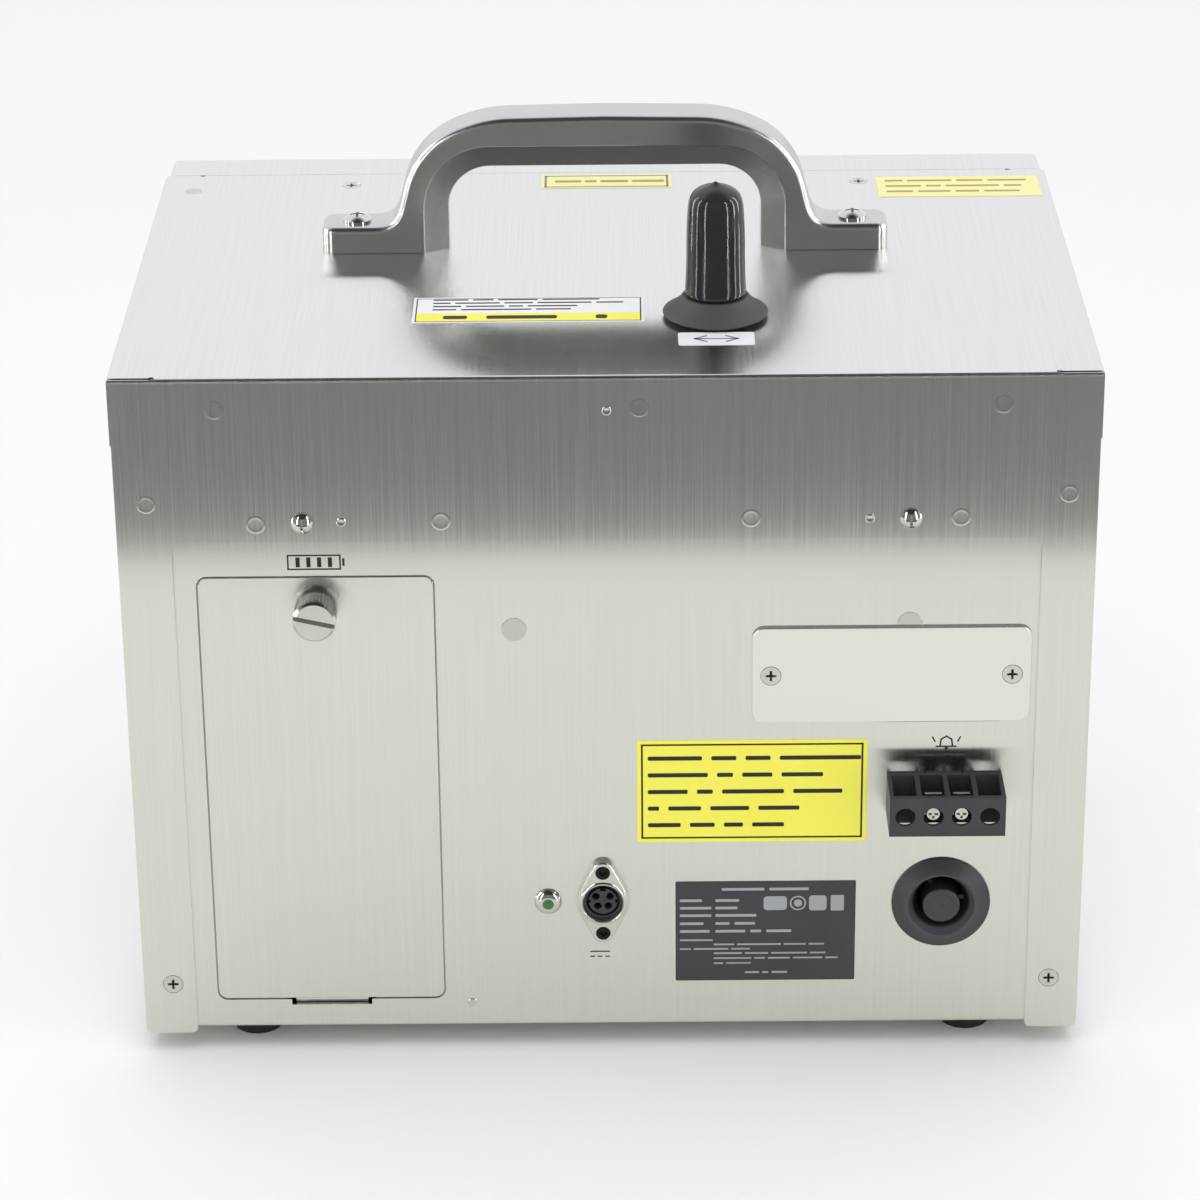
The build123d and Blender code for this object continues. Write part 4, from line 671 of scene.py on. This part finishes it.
def build_panel_print():
    """Print on the rear panel: battery, bell and contact signs, and the sign for direct current."""
    line = 0.5
    shape = bmesh.new()
    seat = panel_seat(-89.6, 60.0)
    corners = ((-8.0, -2.3), (8.0, -2.3), (8.0, 2.3), (-8.0, 2.3))
    for start, end in zip(corners, corners[1:] + corners[:1]):
        stroke(shape, seat, start, end, line)
    stroke(shape, seat, (9.0, -0.9), (9.0, 0.9), 0.7)
    for bar in (-5.0, -1.7, 1.6, 4.9):
        stroke(shape, seat, (bar, -1.0), (bar, 1.0), 1.3)
    finish_piece("battery_sign", shape, [black_ink])

    shape = bmesh.new()
    seat = panel_seat(105.4, 122.9)
    stroke(shape, seat, (-3.0, -1.6), (3.0, -1.6), line)
    for side in (-1, 1):
        stroke(shape, seat, (side * 2.0, -1.6), (side * 1.6, 0.9), line)
        stroke(shape, seat, (side * 1.6, 0.9), (0.0, 1.9), line)
        stroke(shape, seat, (side * 3.6, 0.2), (side * 4.3, 1.6), line)
    merge_in(shape, ring(0.55, 0.0, INK), seat @ shift(0, -2.3))
    finish_piece("bell_sign", shape, [black_ink])

    shape = bmesh.new()
    seat = panel_seat(104.95, 129.2)
    for side in (-1, 1):
        merge_in(shape, ring(1.15, 0.6, INK), seat @ shift(side * 2.9, 0))
        stroke(shape, seat, (side * 4.0, 0.0), (side * 5.85, 0.0), line)
        stroke(shape, seat, (side * 5.85, 0.0), (side * 5.85, -4.6), line)
    stroke(shape, seat, (-2.1, 0.3), (1.6, 1.4), line)
    finish_piece("contact_sign", shape, [black_ink])

    shape = bmesh.new()
    seat = panel_seat(-3.3, 197.5)
    line = 0.45
    stroke(shape, seat, (-2.9, 0.9), (2.9, 0.9), line)
    for dash in (-2.4, 0.0, 2.4):
        stroke(shape, seat, (dash - 0.5, -0.9), (dash + 0.5, -0.9), line)
    finish_piece("direct_current_sign", shape, [black_ink])


# ---------------------------------------------------------------- marks in the sheet


def build_weld_dimples():
    """Round marks of welding in the sheet: dishes with a low rim, small pips and flat discs."""
    rear = (
        (-117.7, 9.9),
        (119.8, 9.9),
        (-139.9, 40.6),
        (140.6, 39.3),
        (-106.8, 47.5),
        (-50.4, 46.8),
        (44.0, 46.6),
        (107.9, 46.8),
        (10.1, 10.2),
    )
    shape = bmesh.new()
    dish = ((3.0, 0.0), (2.7, 0.022), (2.4, 0.032), (2.1, 0.018), (1.6, 0.012), (0.0, 0.01))
    for x, drop in rear:
        merge_in(shape, turned(dish, 32), rear_seat(x, drop))
    merge_in(shape, turned(dish, 32), top_seat(-139.0, 175.0))
    finish_piece("weld_dimples", shape, [dull_steel], smooth=60)

    shape = bmesh.new()
    pip = ((1.5, 0.0), (1.3, 0.16), (1.0, 0.2), (0.6, 0.05), (0.0, 0.02))
    for x, drop in ((0.3, 11.1), (-80.8, 46.9), (80.2, 47.0)):
        merge_in(shape, turned(pip, 24), rear_seat(x, drop))
    merge_in(shape, turned(pip, 24), panel_seat(-44.5, 215.0))
    finish_piece("weld_pips", shape, [nickel], smooth=60)

    shape = bmesh.new()
    disc = ((3.9, 0.0), (3.75, 0.05), (0.0, 0.05))
    for x, drop in ((-28.8, 83.2), (93.2, 82.2)):
        merge_in(shape, turned(disc, 40), panel_seat(x, drop))
    finish_piece("stud_marks", shape, [dull_steel], smooth=8)


# ---------------------------------------------------------------- inlet and socket

# Outlines as radius and height above the cover, in millimetres.
FLANGE_OUTLINE = (
    (8.2, 0.0),
    (14.4, 0.0),
    (15.6, 0.7),
    (16.3, 1.1),
    (16.4, 1.4),
    (16.2, 1.8),
    (13.8, 3.2),
    (11.6, 5.0),
    (10.6, 6.3),
    (10.2, 6.8),
    (8.2, 6.8),
    (8.2, 0.0),
)
CAP_OUTLINE = (
    (0.0, 36.3),
    (6.9, 36.3),
    (7.25, 35.9),
    (7.25, 7.6),
    (7.5, 7.05),
    (9.1, 7.05),
    (9.5, 7.5),
    (9.6, 8.8),
    (9.35, 12.0),
    (9.1, 19.0),
    (9.15, 26.0),
    (8.85, 33.0),
    (8.6, 36.3),
    (7.95, 39.1),
    (6.3, 40.8),
    (4.2, 41.8),
    (2.4, 42.4),
    (1.1, 42.95),
    (0.5, 43.4),
    (0.0, 43.6),
)


def build_inlet_looks():
    """The rubber flange with its thin lip, and the dipped cap, which is a little uneven and ends
    in the soft point that the drip leaves."""
    low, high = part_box("inlet_tube")
    seat = Matrix.Translation(((low.x + high.x) / 2, (low.y + high.y) / 2, top_z))
    shape = bmesh.new()
    merge_in(shape, turned(FLANGE_OUTLINE, 96), seat)
    flange = finish_piece("inlet_flange_lip", shape, [flange_rubber], smooth=40)
    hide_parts("inlet_flange")
    shape = bmesh.new()
    merge_in(shape, turned(CAP_OUTLINE, 32), seat)
    cap = finish_piece("dipped_inlet_cap", shape, [vinyl], "inlet_cap", smooth=80)
    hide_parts("inlet_cap")
    rounding = cap.modifiers.new("rounding", "SUBSURF")
    rounding.levels = rounding.render_levels = 2


def build_screw_recess_painted_shade():
    """Painted shade: dark crosses laid on the countersunk screws' heads, standing for the shade in
    their cross recesses, seen at their mouths.
    """
    on_rear = ((-140.1, 207.4), (140.1, 207.4), (50.45, 99.8), (125.15, 99.8))
    on_top = ((-85.9, 180.0), (85.9, 180.0))
    seats = [rear_seat(x, drop) for x, drop in on_rear] + [top_seat(x, back) for x, back in on_top]
    long, wide, corner = 2.5, 0.65, 0.15
    shape = bmesh.new()
    for seat in seats:
        merge_in(shape, plate(long, wide, INK, corner, 2), seat)
        # The second arm is a little thicker, so that the two faces don't lie in one plane.
        merge_in(shape, plate(wide, long, INK * 1.2, corner, 2), seat)
    finish_piece("screw_recess_painted_shade", shape, [black_oxide_and_painted_shade])


def build_socket_rim():
    """The rolled rim of the power socket's shell, standing a little out of its flange."""
    low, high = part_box("socket_flange")
    seat = Matrix.Translation(((low.x + high.x) / 2, low.y, (low.z + high.z) / 2))
    turn = rear_seat(0, 0).to_3x3().to_4x4()
    rim = ((6.45, -1.2), (6.45, 0.2), (6.7, 0.45), (7.1, 0.45), (7.5, 0.0))
    shape = bmesh.new()
    merge_in(shape, turned(rim, 64), seat @ turn)
    finish_piece("socket_rim", shape, [nickel], smooth=50)


# ---------------------------------------------------------------- stage, light and camera

BENCH_HALF = 4.0  # half the bench's width
BENCH_REACH = 0.398  # how far the bench that mirrors see reaches out past the rear plate


def floor_finish():
    """White bench top. Mirror rays that land past its edge go on into the unlit room, which gives
    the steel its grey upper band, and the bench that mirror rays meet is painted a little warmer
    and darker than the camera sees it, a painted reflection tone for the steel."""
    finish, tree, output = new_finish("white_bench_laminate")
    place = add(tree, "TexCoord")
    spot = add(tree, "SeparateXYZ", {"Vector": place.outputs["Object"]})
    edge = rear_y - BENCH_REACH
    past = add(tree, "Math", {0: spot.outputs["Y"], 1: edge}, operation="LESS_THAN")
    ray = add(tree, "LightPath")
    mirrored = ray.outputs["Is Glossy Ray"]
    leaves = add(tree, "Math", {0: past.outputs[0], 1: mirrored}, operation="MULTIPLY")
    # painted reflection: mirror rays see the bench darker and warmer than the camera does
    shades = {0: mirrored, 6: paint("#FAFBFA"), 7: paint("#E9E9E0")}
    colour = add(tree, "Mix", shades, data_type="RGBA")
    laminate = add(tree, "BsdfPrincipled", {"Base Color": colour.outputs[2], "Roughness": 0.7})
    clear = add(tree, "BsdfTransparent")
    halves = {0: leaves.outputs[0], 1: laminate.outputs[0], 2: clear.outputs[0]}
    close(tree, output, add(tree, "MixShader", halves))
    return finish


def build_floor():
    """A wide flat bench that the feet stand on."""
    shape = bmesh.new()
    bmesh.ops.create_grid(shape, x_segments=1, y_segments=1, size=BENCH_HALF)
    mesh = bpy.data.meshes.new("floor")
    shape.to_mesh(mesh)
    shape.free()
    floor = bpy.data.objects.new("floor", mesh)
    bpy.context.scene.collection.objects.link(floor)
    mesh.materials.append(floor_finish())


# Bounds of the studio as directions that a mirror ray can take, from -1 to 1 along an axis.
PAPER_BEGINS = (-0.25, 0.15)  # along Y: from the room in front into the paper behind
PAPER_ENDS = (0.8, 1.0)  # along Z: the paper's top edge
ROOM_DARKENS = (0.42, 0.62)  # along Z: from the room's walls into its dark ceiling


def build_world():
    """A studio: white paper behind, an unlit room in front and above. Mirrors see that layout,
    while the camera sees plain white and dull surfaces are lit evenly."""
    world = bpy.data.worlds.new("studio_room")
    bpy.context.scene.world = world
    world.use_nodes = True
    tree = world.node_tree
    tree.nodes.clear()
    place = add(tree, "TexCoord")
    way = add(tree, "SeparateXYZ", {"Vector": place.outputs["Generated"]})
    behind = add(
        tree,
        "MapRange",
        {"Value": way.outputs["Y"], "From Min": PAPER_BEGINS[0], "From Max": PAPER_BEGINS[1]},
        interpolation_type="SMOOTHSTEP",
    )
    low = add(
        tree,
        "MapRange",
        {
            "Value": way.outputs["Z"],
            "From Min": PAPER_ENDS[0],
            "From Max": PAPER_ENDS[1],
            "To Min": 1.0,
            "To Max": 0.0,
        },
        interpolation_type="SMOOTHSTEP",
    )
    up = add(
        tree,
        "MapRange",
        {"Value": way.outputs["Z"], "From Min": ROOM_DARKENS[0], "From Max": ROOM_DARKENS[1]},
        interpolation_type="SMOOTHSTEP",
    )
    paper = add(tree, "Math", {0: behind.outputs[0], 1: low.outputs[0]}, operation="MULTIPLY")
    greys = {0: up.outputs[0], 6: paint("#7E8180"), 7: paint("#303234")}
    room = add(tree, "Mix", greys, data_type="RGBA")
    layout = {0: paper.outputs[0], 6: room.outputs[2], 7: paint("#F9FBFF")}
    seen = add(tree, "Mix", layout, data_type="RGBA")
    in_metal = add(tree, "Background", {"Color": seen.outputs[2], "Strength": 1.0})
    lit = add(tree, "Background", {"Color": paint("#F7F8FA"), "Strength": 0.96})
    white = add(tree, "Background", {"Color": paint("#F7F8FA"), "Strength": 1.0})
    ray = add(tree, "LightPath")
    by_mirror = {0: ray.outputs["Is Glossy Ray"], 1: lit.outputs[0], 2: in_metal.outputs[0]}
    unseen = add(tree, "MixShader", by_mirror)
    by_camera = {0: ray.outputs["Is Camera Ray"], 1: unseen.outputs[0], 2: white.outputs[0]}
    shown = add(tree, "MixShader", by_camera)
    output = add(tree, "OutputWorld")
    tree.links.new(shown.outputs[0], output.inputs["Surface"])


def build_lamp(name, place, aim, width, height, power, mirrored):
    """A flat lamp at place, facing aim. Either mirrors find it, or it lights dull surfaces."""
    lamp = bpy.data.lights.new(name, "AREA")
    lamp.shape = "RECTANGLE"
    lamp.size = width
    lamp.size_y = height
    lamp.energy = power
    made = bpy.data.objects.new(name, lamp)
    made.location = place
    made.rotation_euler = (Vector(aim) - Vector(place)).to_track_quat("-Z", "Y").to_euler()
    made.visible_glossy = mirrored
    made.visible_diffuse = not mirrored
    bpy.context.scene.collection.objects.link(made)


# A broad soft light hangs over the case, a little to the camera's side.
SOFTBOX_PLACE = (0.0, -0.35, 1.5)
SOFTBOX_AIM = (0.0, -0.1, 0.1)
SOFTBOX_SIDE = 1.2
SOFTBOX_POWER = 5.0

# Upright strip lamps stand round the case, at these angles in degrees from the camera's side.
STRIP_ANGLES = (-108, -78, -41, 47, 79, 104)
STRIP_DISTANCE = 1.3
STRIP_WIDTH = 0.05
STRIP_HEIGHT = 1.9  # they reach below the bench, so a mirror finds them past its edge too
STRIP_MIDDLE = 0.35
STRIP_POWER = 6.0


def build_strip_lamps():
    """Narrow upright lamps that draw thin lines in the glossy cap and the nickel plate."""
    for number, angle in enumerate(STRIP_ANGLES):
        turn = math.radians(angle)
        place = (STRIP_DISTANCE * math.sin(turn), -STRIP_DISTANCE * math.cos(turn), STRIP_MIDDLE)
        build_lamp(
            f"strip_lamp_{number}",
            place,
            (0, 0, STRIP_MIDDLE),
            STRIP_WIDTH,
            STRIP_HEIGHT,
            STRIP_POWER,
            mirrored=True,
        )


CAMERA_PLACE = Vector((3.7, -1261.5, 686.4)) * MM
CAMERA_PITCH = math.radians(24.39)
CAMERA_YAW = math.radians(0.29)
CAMERA_ROLL = math.radians(-0.577)
PICTURE_WIDTH = 1200
FOCAL_PIXELS = 4166


def build_camera():
    """Looks down on the rear plate from almost square on, through a long lens."""
    data = bpy.data.cameras.new("camera")
    data.sensor_width = 36.0
    data.lens = FOCAL_PIXELS * data.sensor_width / PICTURE_WIDTH
    camera = bpy.data.objects.new("camera", data)
    turn = (
        Matrix.Rotation(CAMERA_YAW, 4, "Z")
        @ Matrix.Rotation(math.pi / 2 - CAMERA_PITCH, 4, "X")
        @ Matrix.Rotation(CAMERA_ROLL, 4, "Z")
    )
    camera.matrix_world = Matrix.Translation(CAMERA_PLACE) @ turn
    bpy.context.scene.collection.objects.link(camera)
    bpy.context.scene.camera = camera


build_yellow_label()
build_rating_plate()
build_white_top_label()
build_inlet_tag()
build_far_labels()
build_panel_print()
build_weld_dimples()
build_inlet_looks()
build_socket_rim()
build_screw_recess_painted_shade()

build_floor()
build_world()
build_lamp(
    "overhead_softbox",
    SOFTBOX_PLACE,
    SOFTBOX_AIM,
    SOFTBOX_SIDE,
    SOFTBOX_SIDE,
    SOFTBOX_POWER,
    mirrored=False,
)
build_strip_lamps()
build_camera()

bpy.context.scene.view_settings.view_transform = "Standard"
